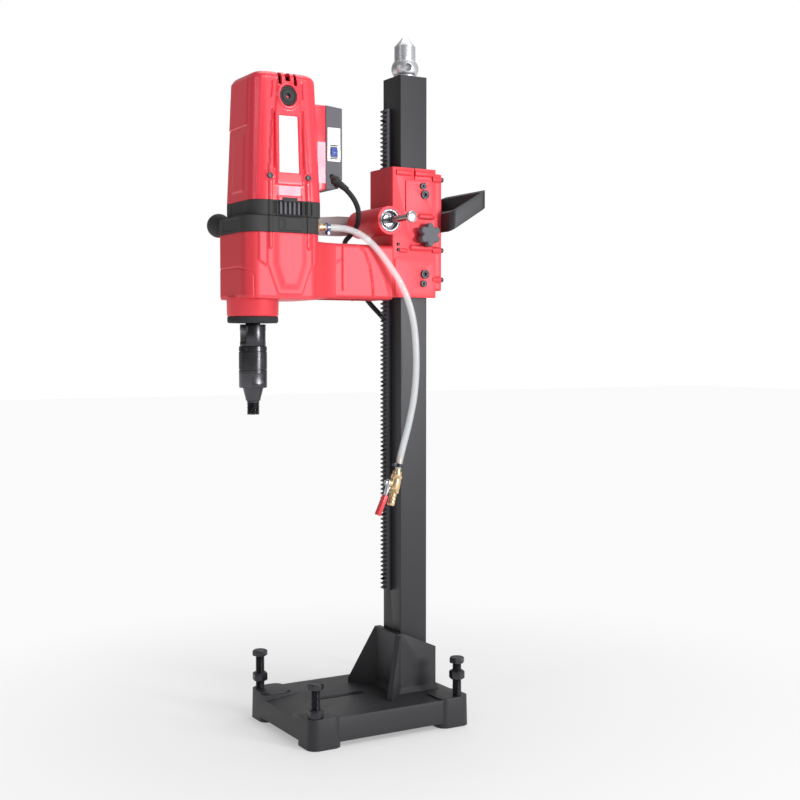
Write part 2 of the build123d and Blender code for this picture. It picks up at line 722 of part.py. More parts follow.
with BuildPart() as feed_ball:
    with BuildSketch(lever_plane):
        with Locations((lever_pitch_radius, 0)):
            Circle(lever_ball_radius)
            Rectangle(60, 30, align=(Align.CENTER, Align.MIN), mode=Mode.INTERSECT)
    revolve(axis=Axis((lever_x, pinion_y, pinion_z), along_lever))
    rod(ball_seat, 5 + running_fit, 20.3, mode=Mode.SUBTRACT)
    slab(ball_seat, 60, 60, 2 + 2.5, mode=Mode.SUBTRACT)
save(feed_ball, "feed_ball")

# ================================ head castings ================================
spindle_shaft_radius = 12.5
bearing_outer = 26.0
lower_bearing_z = 729.0
upper_bearing_z = 757.0
bearing_height = 15.0
layshaft_radius = 5.0
layshaft_bearing = 13.0
layshaft_seat_z = 764.0
layshaft_bearing_height = 8.0
armature_bearing = 17.5
armature_bearing_z = 868.0
armature_bearing_height = 11.0

with BuildPart() as gearbox_arm:
    slab(up(0, gearbox_mid_y, gearbox_bottom), 2 * gearbox_half_x, gearbox_length,
         gearbox_top - gearbox_bottom, gearbox_corner)
    with BuildSketch(up(0, 0, arm_bottom)):
        with BuildLine():
            Polyline((arm_half_x, -carriage_front), (arm_half_x, -165), (gearbox_half_x - 4, -225),
                     (-gearbox_half_x + 4, -225), (-arm_half_x, -165), (-arm_half_x, -carriage_front),
                     close=True)
        make_face()
    extrude(amount=arm_top - arm_bottom)
    arm_edges = gearbox_arm.edges().filter_by(Axis.Y).filter_by_position(Axis.Y, -165, -carriage_front)
    fillet(arm_edges, radius=7)
    # nose round the spindle
    with BuildSketch(up(0, spindle_y, nose_bottom)):
        Circle(nose_radius)
    extrude(amount=gearbox_bottom - nose_bottom + 2, taper=-1)
    # shield-shaped raised panels on both flanks
    for side in (-1, 1):
        flank = Plane(origin=(side * gearbox_half_x, motor_y, 0), x_dir=(0, side, 0), z_dir=(side, 0, 0))
        prism(flank, [(-27, gearbox_top), (27, gearbox_top), (27, gearbox_top - 52),
                      (15, gearbox_bottom + 20), (-15, gearbox_bottom + 20), (-27, gearbox_top - 52)],
              flank_panel)
    # gear chamber, open to the lid
    slab(up(0, gearbox_mid_y, gearbox_bottom + gearbox_floor), 2 * (gearbox_half_x - gearbox_wall),
         gearbox_length - 2 * gearbox_wall, gearbox_top, gearbox_corner - gearbox_wall, mode=Mode.SUBTRACT)
    rod(up(0, spindle_y, nose_bottom - 1), spindle_shaft_radius + 4, 60, mode=Mode.SUBTRACT)
    rod(up(0, spindle_y, nose_bottom - 1), bearing_outer + seat_play,
        lower_bearing_z + bearing_height - nose_bottom + 1, mode=Mode.SUBTRACT)
    rod(up(0, spindle_y, upper_bearing_z), bearing_outer + seat_play, 60, mode=Mode.SUBTRACT)
    rod(up(layshaft_x, layshaft_y, layshaft_seat_z), layshaft_bearing + seat_play, 60, mode=Mode.SUBTRACT)
    # cored arm, open underneath
    core_front = 180.0
    core_rear = carriage_front + arm_flange
    slab(up(0, -(core_rear + core_front) / 2, arm_bottom - 1), 2 * (arm_half_x - 6), core_front - core_rear,
         arm_top - arm_bottom - 9, mode=Mode.SUBTRACT)
    for x, z in arm_bolts_at:
        rod(rearward(x, -core_rear - 2, z), arm_bolt_radius + seat_play, arm_flange + 3, mode=Mode.SUBTRACT)
save(gearbox_arm, "gearbox_arm")

with BuildPart() as gearbox_lid:
    slab(up(0, gearbox_mid_y, lid_bottom), 2 * gearbox_half_x, gearbox_length, vent_bottom - lid_bottom,
         gearbox_corner)
    fillet(gearbox_lid.faces().sort_by(Axis.Z)[-1].edges(), radius=2)
    rod(up(0, motor_y, lid_bottom - 1), armature_shaft_radius + 2, 40, mode=Mode.SUBTRACT)
    rod(up(0, motor_y, armature_bearing_z), armature_bearing + seat_play, 40, mode=Mode.SUBTRACT)
    rod(up(layshaft_x, layshaft_y, lid_bottom - 1), layshaft_bearing + seat_play, 1 + 9, mode=Mode.SUBTRACT)
    rod(rearward(30, -gearbox_rear - 14, 880), 5 + seat_play, 15, mode=Mode.SUBTRACT)
save(gearbox_lid, "gearbox_lid")

with BuildPart() as vent_ring:
    with BuildSketch(up(0, motor_y, vent_bottom)):
        RectangleRounded(2 * motor_half, 2 * motor_half, motor_corner)
        RectangleRounded(2 * motor_half - 10, 2 * motor_half - 10, motor_corner - 5, mode=Mode.SUBTRACT)
    extrude(amount=motor_bottom - vent_bottom)
    # louvre slots through each flank and the front
    for side in (-1, 1):
        with BuildSketch(Plane(origin=(side * motor_half, motor_y, (vent_bottom + motor_bottom) / 2),
                               x_dir=(0, 1, 0), z_dir=(side, 0, 0))):
            with GridLocations(11, 0, 5, 1):
                Rectangle(5, 17)
        extrude(amount=-8, mode=Mode.SUBTRACT)
save(vent_ring, "vent_ring")


def motor_half_at(z):
    return motor_half - (z - motor_bottom) * motor_slope


def motor_shell(bottom, top, mode=Mode.ADD, inset=0.0):
    """Tapering rounded-square body of the motor between two heights."""
    half = motor_half_at(bottom) - inset
    slab(up(0, motor_y, bottom), 2 * half, 2 * half, top - bottom, motor_corner - inset,
         mode=mode, taper=motor_draft)


with BuildPart() as motor_housing:
    motor_shell(motor_bottom, cover_seam)
    motor_shell(motor_bottom, cover_seam, Mode.SUBTRACT, motor_wall)
    # ledge that carries the stator
    ledge_half = motor_half_at(stator_bottom) - 1
    with BuildSketch(up(0, motor_y, stator_bottom - 8)):
        RectangleRounded(2 * ledge_half, 2 * ledge_half, motor_corner - 1)
        Circle(stator_radius - 5, mode=Mode.SUBTRACT)
    extrude(amount=8)
save(motor_housing, "motor_housing")

top_bearing_z = brush_z + 17
top_bearing_radius = 16.0
top_bearing_height = 10.0
with BuildPart() as motor_top_cover:
    motor_shell(cover_seam, motor_top)
    fillet(motor_top_cover.faces().sort_by(Axis.Z)[-1].edges(), radius=12)
    motor_shell(cover_seam, motor_top - 5, Mode.SUBTRACT, motor_wall)
    rod(up(0, motor_y, top_bearing_z - 2), top_bearing_radius + 6, motor_top - 4 - top_bearing_z)
    rod(up(0, motor_y, top_bearing_z - 3), top_bearing_radius + seat_play, top_bearing_height + 3,
        mode=Mode.SUBTRACT)
    for side in (-1, 1):
        # brush cap boss and bore, and three air slots over it
        rod(rightward(side * (motor_half_at(brush_z) - 6), motor_y, brush_z), 20, side * 9)
        rod(rightward(side * 40, motor_y, brush_z), brush_tube_radius + seat_play, side * 40,
            mode=Mode.SUBTRACT)
        rod(rightward(side * (motor_half_at(brush_z) - 1), motor_y, brush_z), brush_cap_radius + seat_play,
            side * 20, mode=Mode.SUBTRACT)
        with BuildSketch(Plane(origin=(side * (motor_half + 4), motor_y, motor_top - 8), x_dir=(0, 1, 0),
                               z_dir=(-side, 0, 0))):
            with GridLocations(13, 0, 3, 1):
                Rectangle(6, 20)
        extrude(amount=26, mode=Mode.SUBTRACT)
save(motor_top_cover, "motor_top_cover")

screw_z = 957.0
with BuildPart() as motor_screws:
    for side in (-1, 1):
        for y in (motor_y - 36, motor_y + 34):
            face_x = motor_half_at(screw_z)
            plane = Plane(origin=(side * face_x, y, screw_z), z_dir=(side, 0, 0))
            rod(plane.offset(0.26), 5.5, 3.5)
save(motor_screws, "motor_screws")

# ================================ motor ================================
with BuildPart() as stator_core:
    ring(up(0, motor_y, stator_bottom), stator_radius, stator_bore, stator_height)
save(stator_core, "stator_core")

with BuildPart() as field_coils:
    ring(up(0, motor_y, stator_bottom - 16), stator_radius - 6, stator_bore + 2, 16)
    ring(up(0, motor_y, stator_bottom + stator_height), stator_radius - 6, stator_bore + 2, 16)
save(field_coils, "field_coils")

armature_pinion_z = first_gear_z - 2
lay_direction = math.degrees(math.atan2(layshaft_y - motor_y, layshaft_x))
with BuildPart() as armature_shaft:
    gear_wheel(up(0, motor_y, armature_pinion_z), first_module, first_pinion_teeth, lay_direction, 16, 0)
    rod(up(0, motor_y, armature_pinion_z + 16), armature_shaft_radius, top_bearing_z - armature_pinion_z - 16)
    rod(up(0, motor_y, top_bearing_z), 6, top_bearing_height)
save(armature_shaft, "armature_shaft")

with BuildPart() as armature_core:
    ring(up(0, motor_y, stator_bottom), stator_bore - 0.8, armature_shaft_radius + running_fit, stator_height)
    ring(up(0, motor_y, stator_bottom - 14), 25, armature_shaft_radius + running_fit, 14)
    ring(up(0, motor_y, stator_bottom + stator_height), 25, armature_shaft_radius + running_fit, 14)
save(armature_core, "armature_core")

with BuildPart() as commutator:
    ring(up(0, motor_y, brush_z - 15), commutator_radius, armature_shaft_radius + running_fit, 30)
    with BuildSketch(up(0, motor_y, brush_z - 15)):
        with PolarLocations(commutator_radius, 24):
            Rectangle(1.6, 0.8)
    extrude(amount=26, mode=Mode.SUBTRACT)
save(commutator, "commutator")

with BuildPart() as cooling_fan:
    ring(up(0, motor_y, 898), 12, armature_shaft_radius + running_fit, 17)
    ring(up(0, motor_y, 912), 48, armature_shaft_radius + running_fit, 3)
    with BuildSketch(up(0, motor_y, 898)):
        with PolarLocations(29, 12):
            Rectangle(36, 2)
    extrude(amount=15)
save(cooling_fan, "cooling_fan")

with BuildPart() as carbon_brushes:
    for side in (-1, 1):
        slab(rightward(side * (commutator_radius + 0.3), motor_y, brush_z), brush_width, brush_height,
             side * 22)
save(carbon_brushes, "carbon_brushes")

cap_seat = motor_half_at(brush_z) - 1
with BuildPart() as brush_caps:
    for side in (-1, 1):
        rod(rightward(side * cap_seat, motor_y, brush_z), brush_cap_radius, side * 7)
        rod(rightward(side * (commutator_radius + 6), motor_y, brush_z), brush_tube_radius,
            side * (cap_seat - commutator_radius - 6))
        slab(rightward(side * (commutator_radius + 5), motor_y, brush_z), brush_width + 2 * seat_play,
             brush_height + 2 * seat_play, side * 20, mode=Mode.SUBTRACT)
        rod(rightward(side * (cap_seat + 5), motor_y, brush_z), 5, side * 3, mode=Mode.SUBTRACT)
save(brush_caps, "brush_caps")

with BuildPart() as motor_bearings:
    ring(up(0, motor_y, armature_bearing_z), armature_bearing, armature_shaft_radius + running_fit,
         armature_bearing_height)
    ring(up(0, motor_y, top_bearing_z), top_bearing_radius, 6 + running_fit, top_bearing_height)
save(motor_bearings, "motor_bearings")

# ================================ gear train ================================
spin_direction = math.degrees(math.atan2(spindle_y - layshaft_y, -layshaft_x))
with BuildPart() as layshaft:
    gear_wheel(up(layshaft_x, layshaft_y, second_gear_z - 1), second_module, second_pinion_teeth,
               spin_direction, 26, 0)
    rod(up(layshaft_x, layshaft_y, layshaft_seat_z), layshaft_radius, 872 - layshaft_seat_z)
    rod(up(layshaft_x, layshaft_y, second_gear_z + 25), 7, first_gear_z - second_gear_z - 25)
save(layshaft, "layshaft")

with BuildPart() as layshaft_gear:
    gear_wheel(up(layshaft_x, layshaft_y, first_gear_z), first_module, first_gear_teeth,
               lay_direction + 180 + 180 / first_gear_teeth, 12, layshaft_radius + running_fit)
save(layshaft_gear, "layshaft_gear")

with BuildPart() as gearbox_bearings:
    ring(up(0, spindle_y, lower_bearing_z), bearing_outer, spindle_shaft_radius + running_fit, bearing_height)
    ring(up(0, spindle_y, upper_bearing_z), bearing_outer, spindle_shaft_radius + running_fit, bearing_height)
    ring(up(layshaft_x, layshaft_y, layshaft_seat_z), layshaft_bearing, layshaft_radius + running_fit,
         layshaft_bearing_height)
    ring(up(layshaft_x, layshaft_y, lid_bottom + 1), layshaft_bearing, layshaft_radius + running_fit,
         layshaft_bearing_height)
save(gearbox_bearings, "gearbox_bearings")

neck_bottom = 675.0
coupling_bottom = 604.0
cone_bottom = 581.5
thread_bottom = 558.5
spigot = 9.0
with BuildPart() as spindle:
    rod(up(0, spindle_y, 640), spigot, 100)
    rod(up(0, spindle_y, neck_bottom), 22, 37)
    slab(up(0, spindle_y - 28, neck_bottom + 8), 60, 20, 18, mode=Mode.SUBTRACT)
    slab(up(0, spindle_y + 28, neck_bottom + 8), 60, 20, 18, mode=Mode.SUBTRACT)
    rod(up(0, spindle_y, neck_bottom + 37), spindle_shaft_radius, second_gear_z + 32 - neck_bottom - 37)
    rod(up(0, spindle_y, second_gear_z - 5), 16, 4.8)
save(spindle, "spindle")

with BuildPart() as spindle_gear:
    gear_wheel(up(0, spindle_y, second_gear_z), second_module, second_gear_teeth,
               spin_direction + 180 + 180 / second_gear_teeth, 24, spindle_shaft_radius + running_fit)
save(spindle_gear, "spindle_gear")

with BuildPart() as bit_coupling:
    with BuildSketch(Plane(origin=(0, spindle_y, 0), x_dir=(1, 0, 0), z_dir=(0, -1, 0))):
        with BuildLine():
            Polyline((0, thread_bottom), (10, thread_bottom), (11, thread_bottom + 1.5), (11, cone_bottom),
                     (12, cone_bottom), (17.5, coupling_bottom), (23, coupling_bottom),
                     (24, coupling_bottom + 1), (24, neck_bottom - 1), (23, neck_bottom), (0, neck_bottom),
                     close=True)
        make_face()
    revolve(axis=Axis((0, spindle_y, 0), (0, 0, 1)))
    rod(up(0, spindle_y, 638), spigot + running_fit, 50, mode=Mode.SUBTRACT)
    rod(up(0, spindle_y, 500), 4, 200, mode=Mode.SUBTRACT)
save(bit_coupling, "bit_coupling")

with BuildPart() as seal_ring:
    ring(up(0, spindle_y, nose_bottom - 10.9), nose_radius - 0.5, spindle_shaft_radius + 0.1, 10.8)
save(seal_ring, "seal_ring")

# ================================ switch box ================================
def motor_back(z):
    return motor_y + motor_half_at(z)


with BuildPart() as switch_box_base:
    prism(Plane.YZ, [(motor_back(box_bottom) + seat_play, box_bottom), (box_base_rear, box_bottom + 6),
                     (box_base_rear, box_top), (motor_back(box_top) + seat_play, box_top)], box_half_x)
save(switch_box_base, "switch_box_base")

breaker_y = (box_base_rear + box_cover_rear) / 2 - 1
breaker_z = box_top - 66
gland_plane = Plane(origin=(box_half_x - 1, box_base_rear + 15, box_bottom + 24), z_dir=(0.5, 0.6, -0.62))
with BuildPart() as switch_box_cover:
    prism(Plane.YZ, [(box_base_rear, box_bottom + 6), (box_cover_rear - 8, box_bottom + 8),
                     (box_cover_rear, box_bottom + 24), (box_cover_rear, box_top - 3),
                     (box_base_rear, box_top)], box_half_x)
    slab(rightward(box_half_x - 14, breaker_y, breaker_z), 25 + 0.2, 58 + 0.2, 20, mode=Mode.SUBTRACT)
    rod(gland_plane.offset(-12), 6 + seat_play, 30, mode=Mode.SUBTRACT)
    rod(gland_plane.offset(1.9), 7.5 + seat_play, 30, mode=Mode.SUBTRACT)
save(switch_box_cover, "switch_box_cover")

rocker_z = breaker_z - 13
with BuildPart() as breaker_module:
    slab(rightward(box_half_x - 14, breaker_y, breaker_z), 25, 58, 15.5)
    slab(rightward(box_half_x - 8, breaker_y, rocker_z), 13, 18, 20, mode=Mode.SUBTRACT)
save(breaker_module, "breaker_module")

rocker_x = box_half_x - 1.5
with BuildPart() as breaker_rocker:
    with BuildSketch(Plane(origin=(0, breaker_y, 0), x_dir=(1, 0, 0), z_dir=(0, -1, 0))):
        with Locations((rocker_x, rocker_z)):
            Circle(5.5)
            Polygon((0, -5.4), (4.5, -8), (6, -7), (4, 0), (4.5, 7), (3.2, 7.6), (0, 5.4), align=None)
    extrude(amount=6, both=True)
save(breaker_rocker, "breaker_rocker")

with BuildPart() as cable_gland:
    rod(gland_plane.offset(-8), 6, 10)
    rod(gland_plane.offset(2), 7.5, 5)
    rod(gland_plane.offset(7), 6, 4.5)
save(cable_gland, "cable_gland")

label_thickness = 0.4
with BuildPart() as blank_labels:
    normal = (math.cos(math.radians(motor_draft)), 0, math.sin(math.radians(motor_draft)))
    for y, z, width, height in ((motor_y, 1011.0, 36.0, 94.0), (motor_y, 930.0, 40.0, 22.0)):
        face = Plane(origin=(motor_half_at(z) + running_fit, y, z), x_dir=(0, 1, 0), z_dir=normal)
        slab(face, width, height, label_thickness)
    slab(rightward(box_half_x, box_base_rear - box_base_depth / 2, 990), 15, 70, label_thickness)
save(blank_labels, "blank_labels")

# ================================ cord ================================
cord_points = [
    tuple(gland_plane.offset(11.6).origin), tuple(gland_plane.offset(34).origin), (45, -121, 918),
    (24, -108, 898), (0, -101, 883), (-23, -102, 871), (-45, -101, 863), (-56, -92, 845), (-57, -78, 806),
    (-56, -52, 762), (-55, -8, 722), (-56, 34, 676), (-60, 58, 606), (-64, 66, 500), (-66, 71, 386),
    (-69, 74, 275), (-73, 80, 176), (-80, 88, 96), (-95, 94, 42), (-119, 111, 13), (-141, 129, 6),
]
tube_along(cord_points, cord_radius, "mains_cord")

with BuildPart() as mains_coil:
    ring(up(*coil_centre, 0), coil_radius + coil_turn_width / 2, coil_radius - coil_turn_width / 2,
         coil_height)
    fillet(mains_coil.edges().group_by(Axis.Z)[-1], radius=5)
save(mains_coil, "mains_coil")

# the plug lies across the top of the coil, on a tail that leaves the top turn
plug_radius = 16.0
plug_length = 34.0
relief_length = 24.0
relief_start = coil_centre[0] + 4
plug_y = coil_centre[1] + 36.6
plug_z = coil_height + plug_radius
plug_back = relief_start - relief_length
plug_face = plug_back - plug_length
tail_points = [(-144.6, 84, 20), (-141.8, 103, 25), (-145.5, 122, 32), (-158, 135.5, 39), (-172, plug_y, 43),
               (relief_start, plug_y, plug_z)]
with BuildPart() as mains_plug:
    rod(rightward(plug_face, plug_y, plug_z), plug_radius, plug_length)
    chamfer(mains_plug.edges(), length=3)
    rod(rightward(plug_back - 1, plug_y, plug_z), 7, relief_length + 1)
    for y in (-9.5, 9.5):
        rod(rightward(plug_face - 18, plug_y + y, plug_z), 2.4, 18.5)
    round_tube(tail_points, cord_radius)
save(mains_plug, "mains_plug")

# ================================ water line ================================
nipple_x = 30.0
nipple_z = 880.0
hose_start = (nipple_x, -gearbox_rear + 21.1, nipple_z)
with BuildPart() as water_nipple:
    rod(rearward(nipple_x, -gearbox_rear - 12, nipple_z), 5, 14)
    hex_bar(rearward(nipple_x, -gearbox_rear + 0.1, nipple_z), 17, 9)
    rod(rearward(nipple_x, -gearbox_rear + 9, nipple_z), 6.5, 8)
    rod(rearward(nipple_x, -gearbox_rear + 17, nipple_z), 5, 4)
    # clamp round the hose's end
    ring(rearward(nipple_x, hose_start[1] + 3, nipple_z), hose_radius + 2, hose_radius + seat_play, 6)
    hex_bar(rearward(nipple_x, hose_start[1] + 3, nipple_z + hose_radius + 4), 6, 6)
save(water_nipple, "water_nipple")

drop = math.radians(valve_tilt)
down = (0, -math.sin(drop), -math.cos(drop))
outward = (0, -math.cos(drop), math.sin(drop))


def on_valve(distance):
    """Plane across the valve's bore, looking down the bore, this far below its top."""
    origin = tuple(valve_top[i] + distance * down[i] for i in range(3))
    return Plane(origin=origin, x_dir=(1, 0, 0), z_dir=down)


hose_points = [
    hose_start, (nipple_x, -157, nipple_z), (35, -136, 879), (44, -113, 869), (51, -89, 848),
    (57, -64, 816), (62, -37, 775), (66, -20, 722), (67, -15, 655), (66, -18, 590), (63, -30, 532),
    tuple(on_valve(-28).origin), valve_top,
]
tube_along(hose_points, hose_radius, "water_hose")

with BuildPart() as water_valve_body:
    ring(on_valve(-9), hose_radius + 2, hose_radius + 0.4, 6)
    rod(on_valve(0.1), 5, 5)
    rod(on_valve(4), 8, 8)
    hex_bar(on_valve(11), 17, 7)
    rod(on_valve(18), 9, 20)
    hex_bar(on_valve(37), 16, 7)
    rod(on_valve(44), spout_radius, spout_length)
    stem_seat = Plane(origin=on_valve(28).origin, z_dir=outward)
    rod(stem_seat, 6, 14)
    rod(on_valve(30), 4, 40, mode=Mode.SUBTRACT)
    rod(on_valve(19.5), 7.4, 17, mode=Mode.SUBTRACT)
    rod(on_valve(0.05), 3, 25, mode=Mode.SUBTRACT)
    rod(stem_seat, 2.5 + running_fit, 30, mode=Mode.SUBTRACT)
save(water_valve_body, "water_valve_body")

with BuildPart() as valve_ball:
    with BuildSketch(Plane(origin=on_valve(28).origin, x_dir=(1, 0, 0), z_dir=outward)):
        Circle(7.2)
        Rectangle(20, 10, align=(Align.CENTER, Align.MIN), mode=Mode.INTERSECT)
    revolve(axis=Axis(on_valve(28).origin, (1, 0, 0)))
    rod(stem_seat, 2.5, 21)
    rod(on_valve(15), 3, 30, mode=Mode.SUBTRACT)
save(valve_ball, "valve_ball")

with BuildPart() as valve_lever:
    lever_face = Plane(origin=stem_seat.offset(14.2).origin, x_dir=down, z_dir=outward)
    with BuildSketch(lever_face):
        Circle(7)
        with Locations((11, 0)):
            Rectangle(22, 9)
        Circle(2.5 + running_fit, mode=Mode.SUBTRACT)
    extrude(amount=2)
    splayed = lever_face.location * Location((24, 0, 0), (0, -12, 0))
    slab(Plane(splayed), 36, 8, 2)
    hex_bar(stem_seat.offset(16.4), 8, 4.6)
    rod(stem_seat, 2.5 + running_fit, 40, mode=Mode.SUBTRACT)
save(valve_lever, "valve_lever")

with BuildPart() as lever_sleeve:
    sleeve_plane = Plane(splayed * Location((-1, 0, 1), (0, 90, 0)))
    slab(sleeve_plane, 8, 12, 37, 2)
    slab(sleeve_plane.offset(-1), 2.2, 8.2, 20.1, mode=Mode.SUBTRACT)
save(lever_sleeve, "lever_sleeve")
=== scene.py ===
"""Core drill rig on its stand: finishes, detailed pieces, cords, camera and lights."""

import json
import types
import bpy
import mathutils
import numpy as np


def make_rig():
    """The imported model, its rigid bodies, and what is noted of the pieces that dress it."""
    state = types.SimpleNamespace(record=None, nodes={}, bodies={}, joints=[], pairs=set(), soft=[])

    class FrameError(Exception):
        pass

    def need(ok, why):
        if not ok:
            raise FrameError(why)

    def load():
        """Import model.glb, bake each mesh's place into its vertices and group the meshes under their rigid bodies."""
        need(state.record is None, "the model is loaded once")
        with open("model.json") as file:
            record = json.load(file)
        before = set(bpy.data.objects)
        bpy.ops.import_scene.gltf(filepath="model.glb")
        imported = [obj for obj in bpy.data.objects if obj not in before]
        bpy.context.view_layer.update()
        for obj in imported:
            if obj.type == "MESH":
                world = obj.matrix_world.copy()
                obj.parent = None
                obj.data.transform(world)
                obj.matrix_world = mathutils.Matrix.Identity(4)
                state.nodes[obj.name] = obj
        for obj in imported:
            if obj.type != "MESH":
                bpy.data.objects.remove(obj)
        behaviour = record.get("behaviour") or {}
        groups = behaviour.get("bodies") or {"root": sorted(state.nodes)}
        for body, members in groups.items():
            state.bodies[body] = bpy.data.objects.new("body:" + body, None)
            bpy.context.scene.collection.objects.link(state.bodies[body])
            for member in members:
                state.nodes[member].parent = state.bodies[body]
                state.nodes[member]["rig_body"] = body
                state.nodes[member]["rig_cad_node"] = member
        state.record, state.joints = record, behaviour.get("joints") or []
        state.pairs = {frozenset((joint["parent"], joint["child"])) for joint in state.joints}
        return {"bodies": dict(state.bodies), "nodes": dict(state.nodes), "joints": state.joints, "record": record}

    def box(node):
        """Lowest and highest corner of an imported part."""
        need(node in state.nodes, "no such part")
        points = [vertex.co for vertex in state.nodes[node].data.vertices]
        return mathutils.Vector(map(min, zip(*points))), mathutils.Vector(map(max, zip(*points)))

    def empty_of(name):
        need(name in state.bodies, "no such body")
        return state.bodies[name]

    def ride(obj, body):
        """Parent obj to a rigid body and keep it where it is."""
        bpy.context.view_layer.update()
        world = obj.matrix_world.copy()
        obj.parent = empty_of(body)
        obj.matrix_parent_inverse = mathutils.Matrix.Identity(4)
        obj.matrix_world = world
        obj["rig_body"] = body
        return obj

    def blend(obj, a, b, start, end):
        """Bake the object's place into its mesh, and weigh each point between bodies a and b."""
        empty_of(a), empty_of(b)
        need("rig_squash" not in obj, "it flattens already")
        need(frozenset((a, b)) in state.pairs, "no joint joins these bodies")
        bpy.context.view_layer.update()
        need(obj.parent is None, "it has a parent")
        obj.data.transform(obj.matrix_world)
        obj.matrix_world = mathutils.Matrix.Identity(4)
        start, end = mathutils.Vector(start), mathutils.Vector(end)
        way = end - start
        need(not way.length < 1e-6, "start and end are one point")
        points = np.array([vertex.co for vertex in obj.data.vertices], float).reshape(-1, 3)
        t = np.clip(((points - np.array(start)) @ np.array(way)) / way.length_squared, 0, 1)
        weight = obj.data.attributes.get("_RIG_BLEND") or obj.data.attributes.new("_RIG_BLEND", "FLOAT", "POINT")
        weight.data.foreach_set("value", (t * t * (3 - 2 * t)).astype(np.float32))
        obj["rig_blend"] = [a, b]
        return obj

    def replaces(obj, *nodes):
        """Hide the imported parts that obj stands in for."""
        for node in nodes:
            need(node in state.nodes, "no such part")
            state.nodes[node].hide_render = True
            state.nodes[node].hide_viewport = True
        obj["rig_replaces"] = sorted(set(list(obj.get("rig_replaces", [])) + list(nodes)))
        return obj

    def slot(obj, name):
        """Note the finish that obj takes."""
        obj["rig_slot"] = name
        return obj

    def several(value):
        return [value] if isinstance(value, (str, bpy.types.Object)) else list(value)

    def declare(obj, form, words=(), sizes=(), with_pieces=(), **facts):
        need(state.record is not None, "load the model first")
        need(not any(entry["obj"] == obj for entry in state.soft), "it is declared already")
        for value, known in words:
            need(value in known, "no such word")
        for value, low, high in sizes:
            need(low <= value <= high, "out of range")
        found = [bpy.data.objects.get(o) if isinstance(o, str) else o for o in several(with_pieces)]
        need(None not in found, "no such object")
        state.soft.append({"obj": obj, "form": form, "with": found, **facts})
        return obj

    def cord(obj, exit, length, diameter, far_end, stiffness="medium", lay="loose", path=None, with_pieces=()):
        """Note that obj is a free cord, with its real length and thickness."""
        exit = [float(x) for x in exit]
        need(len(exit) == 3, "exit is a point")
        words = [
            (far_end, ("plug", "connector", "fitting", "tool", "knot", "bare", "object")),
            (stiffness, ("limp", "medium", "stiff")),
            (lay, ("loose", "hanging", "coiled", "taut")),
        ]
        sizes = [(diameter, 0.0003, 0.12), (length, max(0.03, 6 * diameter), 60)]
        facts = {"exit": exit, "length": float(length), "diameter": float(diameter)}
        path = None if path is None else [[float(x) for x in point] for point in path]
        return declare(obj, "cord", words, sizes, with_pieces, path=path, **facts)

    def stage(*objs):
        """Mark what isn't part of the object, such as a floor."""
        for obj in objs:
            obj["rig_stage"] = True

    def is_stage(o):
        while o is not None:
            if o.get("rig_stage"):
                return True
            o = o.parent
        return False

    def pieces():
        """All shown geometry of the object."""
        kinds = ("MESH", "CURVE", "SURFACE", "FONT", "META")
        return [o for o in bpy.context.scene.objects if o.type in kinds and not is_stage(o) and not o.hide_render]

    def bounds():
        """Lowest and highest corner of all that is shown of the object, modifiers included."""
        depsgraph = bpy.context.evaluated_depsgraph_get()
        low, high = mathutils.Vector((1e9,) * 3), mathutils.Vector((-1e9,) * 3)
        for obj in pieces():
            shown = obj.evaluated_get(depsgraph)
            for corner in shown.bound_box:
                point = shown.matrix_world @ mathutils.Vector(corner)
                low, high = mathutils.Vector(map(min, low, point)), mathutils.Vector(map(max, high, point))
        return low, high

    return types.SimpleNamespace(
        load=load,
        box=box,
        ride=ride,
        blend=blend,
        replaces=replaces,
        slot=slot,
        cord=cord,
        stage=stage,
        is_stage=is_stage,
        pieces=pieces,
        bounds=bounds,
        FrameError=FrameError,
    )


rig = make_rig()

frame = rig.load()
cad_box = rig.bounds()

import json
import logging
import math
from dataclasses import dataclass, field
from enum import Enum
from typing import Callable, Iterable, Sequence

import bmesh
import bpy
import numpy as np
from mathutils import Matrix, Vector

logging.basicConfig(level=logging.INFO, format="%(message)s")
LOG = logging.getLogger("core_drill_rig")

MM = 0.001
Point = tuple[float, float, float]
Flat = tuple[float, float]


# ------------------------------------------------------------------ finishes
class Lay(Enum):
    """How the fine lines of a surface run."""

    EVEN = (1.0, 1.0, 1.0)
    TURNED_UPRIGHT = (1.0, 1.0, 30.0)
    TURNED_ACROSS = (30.0, 1.0, 1.0)
    DRAWN_UPRIGHT = (18.0, 18.0, 0.6)


